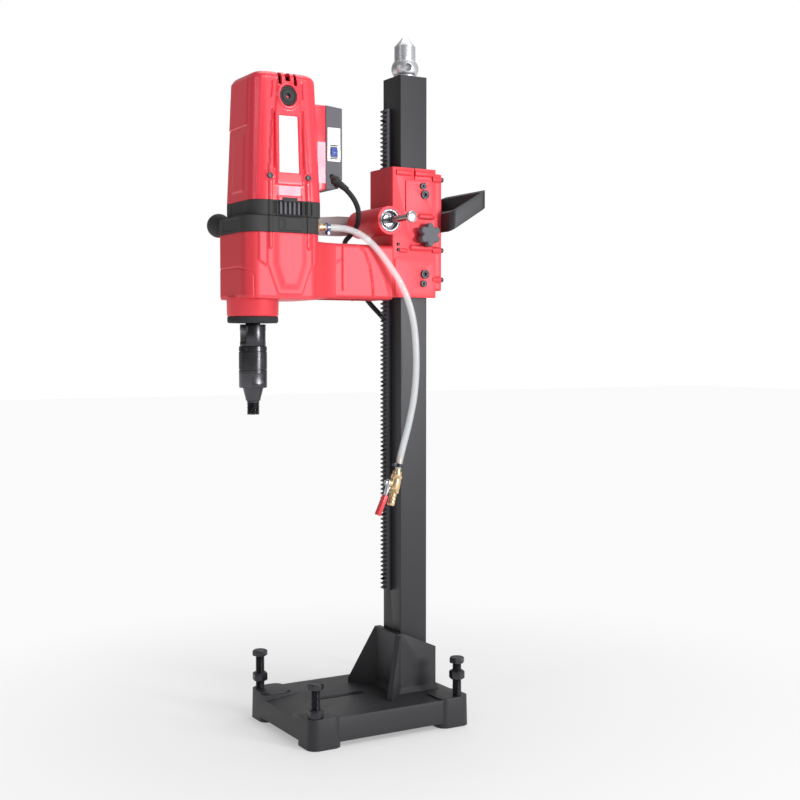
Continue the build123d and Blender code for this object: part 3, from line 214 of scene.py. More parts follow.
@dataclass(frozen=True)
class Finish:
    """One surface finish, made of layered noise on the piece's own coordinates."""

    name: str
    slot: str
    colour: tuple[float, float, float]
    shade: tuple[float, float, float]
    roughness: float
    metallic: float = 0.0
    coat: float = 0.0
    specular: float = 0.5
    transmission: float = 0.0
    rough_spread: float = 0.06
    mottle: float = 9.0
    grain: float = 700.0
    depth: float = 0.05
    dust: float = 0.0
    lay: Lay = Lay.EVEN

    def material(self) -> bpy.types.Material:
        """The finish as a Blender material, made once."""
        found = bpy.data.materials.get(self.name)
        if found:
            return found
        material = bpy.data.materials.new(self.name)
        material.use_nodes = True
        tree = material.node_tree
        tree.nodes.clear()
        output = tree.nodes.new("ShaderNodeOutputMaterial")
        shader = tree.nodes.new("ShaderNodeBsdfPrincipled")
        tree.links.new(shader.outputs["BSDF"], output.inputs["Surface"])
        shader.inputs["Metallic"].default_value = self.metallic
        shader.inputs["Specular IOR Level"].default_value = self.specular
        shader.inputs["Coat Weight"].default_value = self.coat
        shader.inputs["Coat Roughness"].default_value = 0.04
        shader.inputs["Transmission Weight"].default_value = self.transmission
        where = tree.nodes.new("ShaderNodeTexCoord")
        mapping = tree.nodes.new("ShaderNodeMapping")
        mapping.inputs["Scale"].default_value = self.lay.value
        tree.links.new(where.outputs["Object"], mapping.inputs["Vector"])
        cloud = self._noise(tree, mapping, self.mottle, 5.0)
        ramp = tree.nodes.new("ShaderNodeValToRGB")
        ramp.color_ramp.elements[0].position = 0.34
        ramp.color_ramp.elements[1].position = 0.68
        ramp.color_ramp.elements[0].color = (*self.shade, 1.0)
        ramp.color_ramp.elements[1].color = (*self.colour, 1.0)
        tree.links.new(cloud.outputs["Fac"], ramp.inputs["Fac"])
        paint = ramp.outputs["Color"]
        if self.dust:
            paint = self._dusted(tree, mapping, paint)
        tree.links.new(paint, shader.inputs["Base Color"])
        smear = self._noise(tree, mapping, self.mottle * 7.0, 4.0)
        spread = tree.nodes.new("ShaderNodeMapRange")
        spread.inputs["From Min"].default_value = 0.3
        spread.inputs["From Max"].default_value = 0.7
        spread.inputs["To Min"].default_value = max(0.02, self.roughness - self.rough_spread)
        spread.inputs["To Max"].default_value = self.roughness + self.rough_spread
        tree.links.new(smear.outputs["Fac"], spread.inputs["Value"])
        tree.links.new(spread.outputs["Result"], shader.inputs["Roughness"])
        fine = self._noise(tree, mapping, self.grain, 3.0)
        bump = tree.nodes.new("ShaderNodeBump")
        bump.inputs["Strength"].default_value = self.depth
        bump.inputs["Distance"].default_value = 0.0006
        tree.links.new(fine.outputs["Fac"], bump.inputs["Height"])
        tree.links.new(bump.outputs["Normal"], shader.inputs["Normal"])
        return material

    def _noise(self, tree: bpy.types.NodeTree, mapping: bpy.types.Node, scale: float,
        detail: float) -> bpy.types.Node:
        """A noise texture on the mapped coordinates.

        Args:
            tree: the tree to add to.
            mapping: the node that gives coordinates.
            scale: how fine the noise is.
            detail: how many octaves it has.

        Returns:
            The noise node.
        """
        noise = tree.nodes.new("ShaderNodeTexNoise")
        noise.inputs["Scale"].default_value = scale
        noise.inputs["Detail"].default_value = detail
        tree.links.new(mapping.outputs["Vector"], noise.inputs["Vector"])
        return noise

    def _dusted(
        self, tree: bpy.types.NodeTree, mapping: bpy.types.Node, paint: bpy.types.NodeSocket
    ) -> bpy.types.NodeSocket:
        """Fine pale dust on the faces that look up.

        Args:
            tree: the tree to add to.
            mapping: the node that gives coordinates.
            paint: the colour under the dust.

        Returns:
            The dusted colour.
        """
        normal = tree.nodes.new("ShaderNodeNewGeometry")
        split = tree.nodes.new("ShaderNodeSeparateXYZ")
        tree.links.new(normal.outputs["Normal"], split.inputs["Vector"])
        patch = self._noise(tree, mapping, 45.0, 8.0)
        amount = tree.nodes.new("ShaderNodeMath")
        amount.operation = "MULTIPLY"
        tree.links.new(split.outputs["Z"], amount.inputs[0])
        tree.links.new(patch.outputs["Fac"], amount.inputs[1])
        gate = tree.nodes.new("ShaderNodeMapRange")
        gate.inputs["From Min"].default_value = 0.35
        gate.inputs["From Max"].default_value = 0.75
        gate.inputs["To Max"].default_value = self.dust
        tree.links.new(amount.outputs["Value"], gate.inputs["Value"])
        mix = tree.nodes.new("ShaderNodeMix")
        mix.data_type = "RGBA"
        tree.links.new(gate.outputs["Result"], mix.inputs["Factor"])
        tree.links.new(paint, mix.inputs["A"])
        mix.inputs["B"].default_value = (0.32, 0.31, 0.30, 1.0)
        return mix.outputs["Result"]


RED_CASTING = Finish("red_casting", "red_casting", (0.72, 0.008, 0.014), (0.60, 0.004, 0.007), 0.32,
    coat=0.7, specular=0.05,
                     rough_spread=0.03, mottle=6.0, grain=320.0, depth=0.035)
RED_SHELL = Finish("red_shell", "red_shell", (0.74, 0.008, 0.013), (0.62, 0.004, 0.007), 0.34, coat=0.6,
    specular=0.05,
                   rough_spread=0.03, mottle=5.0, grain=520.0, depth=0.02)
BLACK_CASTING = Finish("black_casting", "black_casting", (0.022, 0.021, 0.025), (0.012, 0.012, 0.014), 0.30,
                       coat=0.7, rough_spread=0.05, mottle=10.0, grain=260.0, depth=0.12, dust=0.05)
BLACK_TUBE = Finish("black_tube", "black_tube", (0.024, 0.023, 0.028), (0.014, 0.014, 0.016), 0.34, coat=0.45,
                    rough_spread=0.04, mottle=7.0, grain=420.0, depth=0.05)
BLACK_PLASTIC = Finish("black_plastic", "black_plastic", (0.022, 0.022, 0.024), (0.008, 0.008, 0.010), 0.30,
                       coat=0.9, specular=0.2, mottle=12.0, grain=900.0, depth=0.05)
GREY_PLASTIC = Finish("grey_plastic", "grey_plastic", (0.105, 0.105, 0.125), (0.080, 0.080, 0.098), 0.46,
                      mottle=12.0, grain=1100.0, depth=0.10)
BLACK_STEEL = Finish("black_steel", "black_steel", (0.040, 0.040, 0.044), (0.020, 0.020, 0.022), 0.36,
                     metallic=0.85, mottle=30.0, grain=900.0, depth=0.08)
RACK_STEEL = Finish("rack_steel", "rack_steel", (0.075, 0.075, 0.082), (0.035, 0.035, 0.038), 0.34,
                    metallic=0.9, mottle=26.0, grain=800.0, depth=0.08)
BRIGHT_STEEL = Finish("bright_steel", "bright_steel", (0.60, 0.60, 0.63), (0.44, 0.44, 0.47), 0.22,
                      metallic=1.0, mottle=16.0, grain=240.0, depth=0.05, lay=Lay.TURNED_UPRIGHT)
SHAFT_STEEL = Finish("shaft_steel", "bright_steel", (0.62, 0.62, 0.64), (0.44, 0.44, 0.46), 0.20,
                     metallic=1.0, mottle=16.0, grain=240.0, depth=0.05, lay=Lay.TURNED_ACROSS)
SPINDLE_STEEL = Finish("spindle_steel", "rack_steel", (0.12, 0.12, 0.13), (0.06, 0.06, 0.066), 0.26,
                       metallic=0.95, mottle=14.0, grain=260.0, depth=0.04)
SLEEVE_STEEL = Finish("sleeve_steel", "bright_steel", (0.30, 0.30, 0.33), (0.20, 0.20, 0.22), 0.34,
                      metallic=0.9, mottle=18.0, grain=400.0, depth=0.06, lay=Lay.TURNED_ACROSS)
ZINC = Finish("zinc_steel", "zinc_steel", (0.52, 0.53, 0.56), (0.36, 0.37, 0.40), 0.27,
              metallic=1.0, mottle=34.0, grain=500.0, depth=0.06)
LEVER_PAINT = Finish("grey_lever", "grey_lever", (0.46, 0.48, 0.48), (0.40, 0.42, 0.42), 0.40, coat=0.3,
                     mottle=16.0, grain=500.0, depth=0.08)
BRASS = Finish("brass", "brass", (0.76, 0.52, 0.26), (0.62, 0.38, 0.16), 0.24, metallic=1.0, mottle=40.0,
               grain=600.0, depth=0.05)
BRONZE = Finish("bronze", "bronze", (0.58, 0.40, 0.22), (0.42, 0.27, 0.13), 0.42, metallic=1.0, mottle=60.0,
                grain=1500.0, depth=0.15)
POLYMER = Finish("guide_polymer", "guide_polymer", (0.80, 0.77, 0.68), (0.72, 0.69, 0.60), 0.48, mottle=30.0)
COPPER = Finish("copper_windings", "copper_windings", (0.50, 0.20, 0.09), (0.34, 0.12, 0.05), 0.34,
    metallic=0.9,
                mottle=50.0, grain=900.0, depth=0.4)
LAMINATIONS = Finish("laminations", "laminations", (0.28, 0.28, 0.30), (0.16, 0.16, 0.17), 0.44, metallic=0.9,
                     mottle=40.0, grain=500.0, depth=0.5, lay=Lay.TURNED_UPRIGHT)
CARBON = Finish("carbon", "carbon", (0.035, 0.035, 0.036), (0.022, 0.022, 0.022), 0.55, mottle=60.0,
    depth=0.2)
CLEAR_HOSE = Finish("clear_hose", "clear_hose", (0.95, 0.97, 0.98), (0.88, 0.91, 0.93), 0.05,
    transmission=0.96,
                    rough_spread=0.02, mottle=20.0, grain=300.0, depth=0.04)
CORD_RUBBER = Finish("cord_rubber", "cord_rubber", (0.018, 0.018, 0.020), (0.011, 0.011, 0.012), 0.38,
                     rough_spread=0.08, mottle=40.0, grain=1200.0, depth=0.10)
RED_SLEEVE = Finish("red_sleeve", "red_sleeve", (0.72, 0.010, 0.014), (0.60, 0.008, 0.010), 0.22, coat=0.6,
                    mottle=40.0, depth=0.03)
BLUE_ROCKER = Finish("blue_rocker", "blue_rocker", (0.018, 0.040, 0.30), (0.012, 0.028, 0.22), 0.25, coat=0.4,
                     mottle=80.0)
WHITE_PLASTIC = Finish("white_plastic", "white_plastic", (0.82, 0.82, 0.83), (0.74, 0.74, 0.76), 0.32,
                       mottle=50.0, depth=0.04)
LABEL_FILM = Finish("label_film", "label_film", (0.90, 0.89, 0.89), (0.78, 0.76, 0.77), 0.30, mottle=32.0,
                    depth=0.03)
PINK_FILM = Finish("pink_film", "label_film", (0.90, 0.50, 0.58), (0.80, 0.32, 0.42), 0.30, mottle=44.0,
                   depth=0.03)
SEAL_RUBBER = Finish("seal_rubber", "seal_rubber", (0.020, 0.020, 0.022), (0.014, 0.014, 0.015), 0.30,
                     coat=0.2, mottle=30.0, grain=900.0, depth=0.05)
CLAMP_STEEL = Finish("clamp_steel", "zinc_steel", (0.22, 0.30, 0.46), (0.12, 0.17, 0.28), 0.26, metallic=1.0,
                     mottle=60.0, depth=0.04)


# ------------------------------------------------------------------ mesh tools
def smoothed(mesh: bpy.types.Mesh, degrees: float = 32.0) -> None:
    """Shade a mesh smooth, with sharp edges kept past the angle."""
    mesh.polygons.foreach_set("use_smooth", [True] * len(mesh.polygons))
    mesh.set_sharp_from_angle(angle=math.radians(degrees))


def linked(name: str, data: bpy.types.ID) -> bpy.types.Object:
    """A new object of this data, at the origin of the scene."""
    made = bpy.data.objects.new(name, data)
    bpy.context.scene.collection.objects.link(made)
    return made


def from_shape(name: str, shape: bmesh.types.BMesh) -> bpy.types.Object:
    """A new object of an edited shape, which is used up."""
    mesh = bpy.data.meshes.new(name)
    shape.to_mesh(mesh)
    shape.free()
    return linked(name, mesh)


def mesh_object(name: str, points: np.ndarray, faces: Sequence[Sequence[int]]) -> bpy.types.Object:
    """An object whose mesh has these points, in metres, and faces.

    Args:
        name: the piece's name.
        points: an n by 3 array.
        faces: corner indices of each face, counter-clockwise from outside.

    Returns:
        The linked object, at the origin.
    """
    mesh = bpy.data.meshes.new(name)
    mesh.from_pydata([tuple(p) for p in points], [], [list(f) for f in faces])
    mesh.validate()
    return linked(name, mesh)


def plain_copy(source: bpy.types.Object, name: str) -> bpy.types.Object:
    """The source with its modifiers applied, as a plain mesh object; the source is removed.

    Args:
        source: the object to evaluate.
        name: the copy's name.

    Returns:
        The copy.
    """
    graph = bpy.context.evaluated_depsgraph_get()
    mesh = bpy.data.meshes.new_from_object(source.evaluated_get(graph))
    bpy.data.objects.remove(source)
    return linked(name, mesh)


def outward(piece: bpy.types.Object) -> bpy.types.Object:
    """Merge doubles and turn every face of a closed mesh outward.

    Args:
        piece: a piece whose mesh is closed.

    Returns:
        The same piece.
    """
    shape = bmesh.new()
    shape.from_mesh(piece.data)
    bmesh.ops.remove_doubles(shape, verts=shape.verts, dist=1e-6)
    bmesh.ops.recalc_face_normals(shape, faces=shape.faces)
    shape.to_mesh(piece.data)
    shape.free()
    return piece


def dressed(
    piece: bpy.types.Object,
    finish: Finish,
    body: str,
    replaces: Iterable[str] = (),
    degrees: float = 32.0,
) -> bpy.types.Object:
    """Give a finished piece its surface, its body and the solids that it stands for.

    Args:
        piece: the piece, its mesh final.
        finish: its surface.
        body: the body that it rides on, or nothing for a piece that bends between two.
        replaces: names of the solids that it stands for.
        degrees: edges sharper than this stay sharp.

    Returns:
        The piece.
    """
    piece.data.materials.clear()
    piece.data.materials.append(finish.material())
    smoothed(piece.data, degrees)
    if body:
        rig.ride(piece, body)
    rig.slot(piece, finish.slot)
    names = list(replaces)
    if names:
        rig.replaces(piece, *names)
    LOG.info("piece %s: %d faces, rides on %s", piece.name, len(piece.data.polygons), body)
    return piece


def softened(node: str, finish: Finish, width: float, segments: int = 3,
    angle: float = 30.0) -> bpy.types.Object:
    """A solid with its edges rounded over, as cast, moulded or tumbled edges are.

    Args:
        node: the solid's name.
        finish: its surface.
        width: how far the rounding reaches along each face, in millimetres.
        segments: facets across the rounding.
        angle: only edges sharper than this are rounded, in degrees.

    Returns:
        The piece that stands for the solid.
    """
    source = frame["nodes"][node]
    shape = bmesh.new()
    shape.from_mesh(source.data)
    bmesh.ops.remove_doubles(shape, verts=shape.verts, dist=2e-6)
    bmesh.ops.dissolve_limit(
        shape, angle_limit=math.radians(0.6), verts=shape.verts, edges=shape.edges,
        use_dissolve_boundaries=False
    )
    rough = from_shape(node + "_rough", shape)
    bevel = rough.modifiers.new("edges", "BEVEL")
    bevel.width = width * MM
    bevel.segments = segments
    bevel.limit_method = "ANGLE"
    bevel.angle_limit = math.radians(angle)
    bevel.miter_outer = "MITER_ARC"
    bevel.use_clamp_overlap = True
    made = plain_copy(rough, node + "_soft")
    return dressed(made, finish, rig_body(node), [node], degrees=38.0)


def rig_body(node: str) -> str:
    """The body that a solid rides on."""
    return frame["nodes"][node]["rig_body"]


def centre_of(node: str) -> Vector:
    """Middle of a solid's box at rest, in metres."""
    low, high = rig.box(node)
    return (Vector(low) + Vector(high)) / 2


def stitched(rings: Sequence[np.ndarray], closed: bool, caps: bool = True) -> tuple[np.ndarray,
    list[list[int]]]:
    """Faces between rings of points.

    Args:
        rings: arrays of the same number of points, each going round once.
        closed: whether the last ring joins the first.
        caps: whether open ends are closed to a middle point.

    Returns:
        All points, and the faces' corner indices.
    """
    count = len(rings[0])
    points = np.concatenate(rings)
    faces: list[list[int]] = []
    total = len(rings)
    for row in range(total if closed else total - 1):
        here, there = row * count, ((row + 1) % total) * count
        for column in range(count):
            nxt = (column + 1) % count
            faces.append([here + column, here + nxt, there + nxt, there + column])
    if caps and not closed:
        middles = np.array([rings[0].mean(axis=0), rings[-1].mean(axis=0)])
        start, end = len(points), len(points) + 1
        points = np.concatenate([points, middles])
        last = (total - 1) * count
        for column in range(count):
            nxt = (column + 1) % count
            faces.append([start, nxt, column])
            faces.append([end, last + column, last + nxt])
    return points, faces


# ------------------------------------------------------------------ turned work
@dataclass(frozen=True)
class Step:
    """One ring of a turned profile: distance along the axis, radius, and flats across if hexagonal."""

    along: float
    radius: float
    flats: float = 0.0


@dataclass
class Turned:
    """A lathe-turned or hexagon-milled shape about an axis, in millimetres."""

    origin: Point
    axis: Point
    columns: int = 48
    twist: float = 0.0

    def frame_matrix(self) -> Matrix:
        """Turns the local Z axis onto the piece's axis."""
        turn = Vector((0, 0, 1)).rotation_difference(Vector(self.axis).normalized())
        return Matrix.Translation(Vector(self.origin) * MM) @ turn.to_matrix().to_4x4()

    def ring(self, step: Step) -> np.ndarray:
        """Points of one ring, in metres.

        Args:
            step: distance, radius and flats of the ring.

        Returns:
            The points, in the shared frame.
        """
        angles = np.linspace(0, 2 * math.pi, self.columns, endpoint=False) + self.twist
        radius = np.full(self.columns, step.radius)
        if step.flats:
            wedge = np.mod(angles - self.twist, math.pi / 3) - math.pi / 6
            radius = np.minimum(radius, step.flats / 2 / np.cos(wedge))
        local = np.stack([radius * np.cos(angles), radius * np.sin(angles),
            np.full(self.columns, step.along)], axis=1)
        place = np.array(self.frame_matrix())
        return (local * MM) @ place[:3, :3].T + place[:3, 3]

    def build(self, name: str, steps: Sequence[Step], bored: bool = False) -> bpy.types.Object:
        """Mesh through the steps in order.

        Args:
            name: the object's name.
            steps: the profile. A bored shape gives its bore's steps too, back to the first.
            bored: whether the profile closes on itself round a bore.

        Returns:
            The object, without a finish.
        """
        points, faces = stitched([self.ring(step) for step in steps], bored)
        return outward(mesh_object(name, points, faces))

    def thread(self, name: str, start: float, length: float, radius: float, pitch: float) -> bpy.types.Object:
        """A screw thread of real pitch, with run-out at both ends.

        Args:
            name: the object's name.
            start: where it starts along the axis.
            length: how far it runs.
            radius: crest radius.
            pitch: rise per turn.

        Returns:
            The object, without a finish.
        """
        depth = 0.61 * pitch
        columns = 30
        rows = max(4, int(length / pitch * 5))
        angles = np.linspace(0, 2 * math.pi, columns, endpoint=False)
        place = np.array(self.frame_matrix())
        rings = []
        for row in range(rows + 1):
            along = start + length * row / rows
            phase = np.mod(along / pitch - angles / (2 * math.pi), 1.0)
            wave = np.clip(np.abs(phase - 0.5) * 2.6 - 0.15, 0, 1)
            fade = min(1.0, min(row, rows - row) / 5)
            at = radius - depth * wave * fade - 0.6 * (1 - fade)
            local = np.stack([at * np.cos(angles), at * np.sin(angles), np.full(columns, along)], axis=1)
            rings.append((local * MM) @ place[:3, :3].T + place[:3, 3])
        points, faces = stitched(rings, False)
        return outward(mesh_object(name, points, faces))


def joined(name: str, parts: Sequence[bpy.types.Object]) -> bpy.types.Object:
    """Several plain objects as one mesh.

    Args:
        name: the piece's name.
        parts: the objects to merge, which are used up.

    Returns:
        The merged object, without a finish.
    """
    shape = bmesh.new()
    for part in parts:
        shape.from_mesh(part.data)
        bpy.data.objects.remove(part)
    return from_shape(name, shape)


def rounded_box(name: str, low: Point, high: Point, radius: float, segments: int = 3) -> bpy.types.Object:
    """A block between two corners, in millimetres, with all its edges rounded.

    Args:
        name: the piece's name.
        low: lowest corner.
        high: highest corner.
        radius: how far the rounding reaches.
        segments: facets across the rounding.

    Returns:
        The block, without a finish.
    """
    shape = bmesh.new()
    bmesh.ops.create_cube(shape, size=1.0)
    size = Vector(high) - Vector(low)
    middle = (Vector(high) + Vector(low)) / 2
    for corner in shape.verts:
        corner.co = Vector(c * s * MM for c, s in zip(corner.co, size)) + middle * MM
    bmesh.ops.bevel(
        shape, geom=list(shape.edges), offset=radius * MM, segments=segments, profile=0.5, affect="EDGES"
    )
    return from_shape(name, shape)


def cut(piece: bpy.types.Object, cutters: Sequence[bpy.types.Object], name: str) -> bpy.types.Object:
    """The piece with the cutters' space taken out; both are used up.

    Args:
        piece: the piece to cut.
        cutters: closed shapes to take out.
        name: the result's name.

    Returns:
        The cut piece, without a finish.
    """
    for cutter in cutters:
        knife = piece.modifiers.new("cut", "BOOLEAN")
        knife.operation = "DIFFERENCE"
        knife.solver = "EXACT"
        knife.object = cutter
    made = plain_copy(piece, name)
    for cutter in cutters:
        bpy.data.objects.remove(cutter)
    return made


# ------------------------------------------------------------------ relief shells
@dataclass(frozen=True)
class Relief:
    """A raised or sunk shape on a shell, drawn on its unrolled outside.

    The outline's first number is the distance round the shell from the middle of its +X side,
    and the second is the distance along its axis, both in millimetres.
    """

    outline: tuple[Flat, ...]
    height: float
    edge: float = 1.6
    line: float = 0.0
    both_sides: bool = True

    def offset(self, around: np.ndarray, along: np.ndarray) -> np.ndarray:
        """How far the surface moves out at each place.

        Args:
            around: distances round the shell.
            along: distances along its axis.

        Returns:
            The outward moves, in millimetres.
        """
        corners = np.array(self.outline, float)
        starts = corners if not self.line else corners[:-1]
        ends = np.roll(corners, -1, axis=0) if not self.line else corners[1:]
        nearest = np.full(around.shape, 1e9)
        inside = np.zeros(around.shape, bool)
        for (ax, ay), (bx, by) in zip(starts, ends):
            dx, dy = bx - ax, by - ay
            share = np.clip(((around - ax) * dx + (along - ay) * dy) / (dx * dx + dy * dy), 0, 1)
            nearest = np.minimum(nearest, np.hypot(around - ax - share * dx, along - ay - share * dy))
            if not self.line and dy:
                crosses = ((ay > along) != (by > along)) & (around < (bx - ax) * (along - ay) / dy + ax)
                inside ^= crosses
        distance = nearest - self.line / 2 if self.line else np.where(inside, -nearest, nearest)
        rise = np.clip(0.5 - distance / self.edge, 0, 1)
        return self.height * rise * rise * (3 - 2 * rise)


def circle_outline(middle: Flat, radius: float, count: int = 28) -> tuple[Flat, ...]:
    """Corners of a circle on the unrolled outside."""
    angles = [2 * math.pi * i / count for i in range(count)]
    return tuple((middle[0] + radius * math.cos(a), middle[1] + radius * math.sin(a)) for a in angles)


def box_outline(left: float, right: float, low: float, high: float) -> tuple[Flat, ...]:
    """Corners of a rectangle on the unrolled outside."""
    return ((left, low), (right, low), (right, high), (left, high))


@dataclass
class Shell:
    """A rounded-rectangle tube with reliefs on its outside, in millimetres."""

    half_x: float
    half_y: float
    corner: float
    place: Matrix
    reliefs: list[Relief] = field(default_factory=list)
    spacing: float = 1.6

    def perimeter(self) -> float:
        """Length round the outside."""
        straight = 4 * (self.half_x + self.half_y - 2 * self.corner)
        return straight + 2 * math.pi * self.corner

    def places(self) -> np.ndarray:
        """Distances round the outside at which the columns stand."""
        count = int(self.perimeter() / self.spacing / 4) * 4
        return (np.arange(count) / count - 0.5) * self.perimeter()

    def outline(self, inset: float) -> tuple[np.ndarray, np.ndarray]:
        """Points and outward directions of the section, drawn in by the inset.

        Args:
            inset: how far the section is drawn in.

        Returns:
            The points and their outward directions.
        """
        corner = max(self.corner, 0.5)
        flat_y, flat_x = self.half_y - corner, self.half_x - corner
        arc = math.pi * corner / 2
        legs = [flat_y, arc, 2 * flat_x, arc, 2 * flat_y, arc, 2 * flat_x, arc, flat_y]
        starts = np.concatenate([[0.0], np.cumsum(legs)])
        around = np.mod(self.places(), self.perimeter())
        points, normals = [], []
        directions = [0, None, 90, None, 180, None, 270, None, 360]
        for s in around:
            leg = min(int(np.searchsorted(starts, s, side="right")) - 1, 8)
            t = s - starts[leg]
            if directions[leg] is None:
                angle = math.radians(directions[leg - 1]) + t / corner
                cx = flat_x if leg in (1, 7) else -flat_x
                cy = flat_y if leg in (1, 3) else -flat_y
                nx, ny = math.cos(angle), math.sin(angle)
                px, py = cx + corner * nx, cy + corner * ny
            else:
                angle = math.radians(directions[leg])
                nx, ny = math.cos(angle), math.sin(angle)
                if leg in (0, 8):
                    px, py = self.half_x, t if leg == 0 else -flat_y + t
                elif leg == 2:
                    px, py = flat_x - t, self.half_y
                elif leg == 4:
                    px, py = -self.half_x, flat_y - t
                else:
                    px, py = -flat_x + t, -self.half_y
            points.append((px, py))
            normals.append((nx, ny))
        flat, out = np.array(points), np.array(normals)
        scale = np.array([(self.half_x - inset) / self.half_x, (self.half_y - inset) / self.half_y])
        return flat * scale, out

    def ring(self, along: float, inset: float, relieved: bool = True) -> np.ndarray:
        """One ring of points in metres.

        Args:
            along: its distance along the axis.
            inset: how far it is drawn in from the full section.
            relieved: whether the reliefs move it.

        Returns:
            The points, in the row frame.
        """
        flat, out = self.outline(inset)
        around = self.places()
        rise = np.zeros(len(around))
        if relieved:
            level = np.full(len(around), along)
            half = self.perimeter() / 2
            for relief in self.reliefs:
                rise += relief.offset(around, level)
                if relief.both_sides:
                    rise += relief.offset(np.where(around >= 0, half - around, -half - around), level)
        moved = flat + out * rise[:, None]
        local = np.column_stack([moved, np.full(len(moved), along)]) * MM
        place = np.array(self.place)
        return local @ place[:3, :3].T + place[:3, 3]

    def levels(self, low: float, high: float, step: float = 1.6) -> list[float]:
        """Even levels along the axis, both ends included."""
        count = max(2, int(round((high - low) / step)))
        return [low + (high - low) * i / count for i in range(count + 1)]


# ------------------------------------------------------------------ repeated pieces
class Repeat:
    """Geometry Nodes trees that place a small part many times."""

    def __init__(self) -> None:
        self.tree = self._tree()

    def _tree(self) -> bpy.types.NodeTree:
        """Points in, a real mesh of turned copies out."""
        tree = bpy.data.node_groups.new("repeat_on_points", "GeometryNodeTree")
        face = tree.interface
        face.new_socket("Geometry", in_out="OUTPUT", socket_type="NodeSocketGeometry")
        face.new_socket("Geometry", in_out="INPUT", socket_type="NodeSocketGeometry")
        face.new_socket("Part", in_out="INPUT", socket_type="NodeSocketObject")
        face.new_socket("Size", in_out="INPUT", socket_type="NodeSocketFloat")
        face.new_socket("Surface", in_out="INPUT", socket_type="NodeSocketMaterial")
        entry = tree.nodes.new("NodeGroupInput")
        leave = tree.nodes.new("NodeGroupOutput")
        part = tree.nodes.new("GeometryNodeObjectInfo")
        aim = tree.nodes.new("GeometryNodeInputNamedAttribute")
        aim.data_type = "FLOAT_VECTOR"
        aim.inputs["Name"].default_value = "aim"
        turn = tree.nodes.new("FunctionNodeAlignRotationToVector")
        turn.axis = "Z"
        copies = tree.nodes.new("GeometryNodeInstanceOnPoints")
        real = tree.nodes.new("GeometryNodeRealizeInstances")
        paint = tree.nodes.new("GeometryNodeSetMaterial")
        link = tree.links.new
        link(entry.outputs["Geometry"], copies.inputs["Points"])
        link(entry.outputs["Part"], part.inputs["Object"])
        link(part.outputs["Geometry"], copies.inputs["Instance"])
        link(aim.outputs["Attribute"], turn.inputs["Vector"])
        link(turn.outputs["Rotation"], copies.inputs["Rotation"])
        link(entry.outputs["Size"], copies.inputs["Scale"])
        link(copies.outputs["Instances"], real.inputs["Geometry"])
        link(real.outputs["Geometry"], paint.inputs["Geometry"])
        link(entry.outputs["Surface"], paint.inputs["Material"])
        link(paint.outputs["Geometry"], leave.inputs["Geometry"])
        return tree

    def place(
        self,
        name: str,
        part: bpy.types.Object,
        spots: Sequence[tuple[Point, Point]],
        finish: Finish,
        body: str,
        replaces: Iterable[str] = (),
        size: float = 1.0,
    ) -> bpy.types.Object:
        """One mesh of the part at each spot.

        Args:
            name: the piece's name.
            part: the small part, made about the origin with its axis on +Z; it is used up.
            spots: places in millimetres and the directions that the part's axis takes.
            finish: the surface.
            body: the body that the piece rides on.
            replaces: solids that it stands for.
            size: scale of the part.

        Returns:
            The dressed piece.
        """
        mesh = bpy.data.meshes.new(name + "_points")
        mesh.from_pydata([tuple(c * MM for c in place) for place, _ in spots], [], [])
        aim = mesh.attributes.new("aim", "FLOAT_VECTOR", "POINT")
        aim.data.foreach_set("vector", [c for _, way in spots for c in Vector(way).normalized()])
        points = linked(name + "_points", mesh)
        modifier = points.modifiers.new("repeat", "NODES")
        modifier.node_group = self.tree
        sockets = {s.name: s.identifier for s in self.tree.interface.items_tree if s.in_out == "INPUT"}
        modifier[sockets["Part"]] = part
        modifier[sockets["Size"]] = size
        modifier[sockets["Surface"]] = finish.material()
        made = plain_copy(points, name)
        bpy.data.objects.remove(part)
        return dressed(made, finish, body, replaces)


def cap_screw_head(radius: float, height: float, socket: float) -> bpy.types.Object:
    """A cap screw's head on +Z, with its hexagon socket.

    Args:
        radius: outside radius of the head.
        height: height of the head.
        socket: size of the socket across its flats.

    Returns:
        The head, without a finish.
    """
    turned = Turned((0, 0, 0), (0, 0, 1), columns=36)
    steps = [
        Step(-1.0, radius * 0.6), Step(-1.0, radius), Step(height - 0.8, radius), Step(height, radius - 0.8),
        Step(height, socket * 0.62), Step(height - 0.3, socket * 2, socket),
        Step(height * 0.45, socket * 2, socket),
        Step(height * 0.45, 0.3, 0.0),
    ]
    return turned.build("cap_screw", steps)


# ------------------------------------------------------------------ cords
def spline_line(points: Sequence[Point], resolution: int = 10) -> list[Point]:
    """Points along one smooth NURBS spline whose control points are given in millimetres.

    Args:
        points: control points.
        resolution: points made per span.

    Returns:
        Points along the spline, in metres.
    """
    curve = bpy.data.curves.new("route", "CURVE")
    curve.dimensions = "3D"
    curve.resolution_u = resolution
    spline = curve.splines.new("NURBS")
    spline.points.add(len(points) - 1)
    for control, (x, y, z) in zip(spline.points, points):
        control.co = (x * MM, y * MM, z * MM, 1.0)
    spline.order_u = 3
    spline.use_endpoint_u = True
    holder = linked("route", curve)
    graph = bpy.context.evaluated_depsgraph_get()
    mesh = bpy.data.meshes.new_from_object(holder.evaluated_get(graph))
    line = [tuple(v.co) for v in mesh.vertices]
    bpy.data.objects.remove(holder)
    bpy.data.meshes.remove(mesh)
    return line


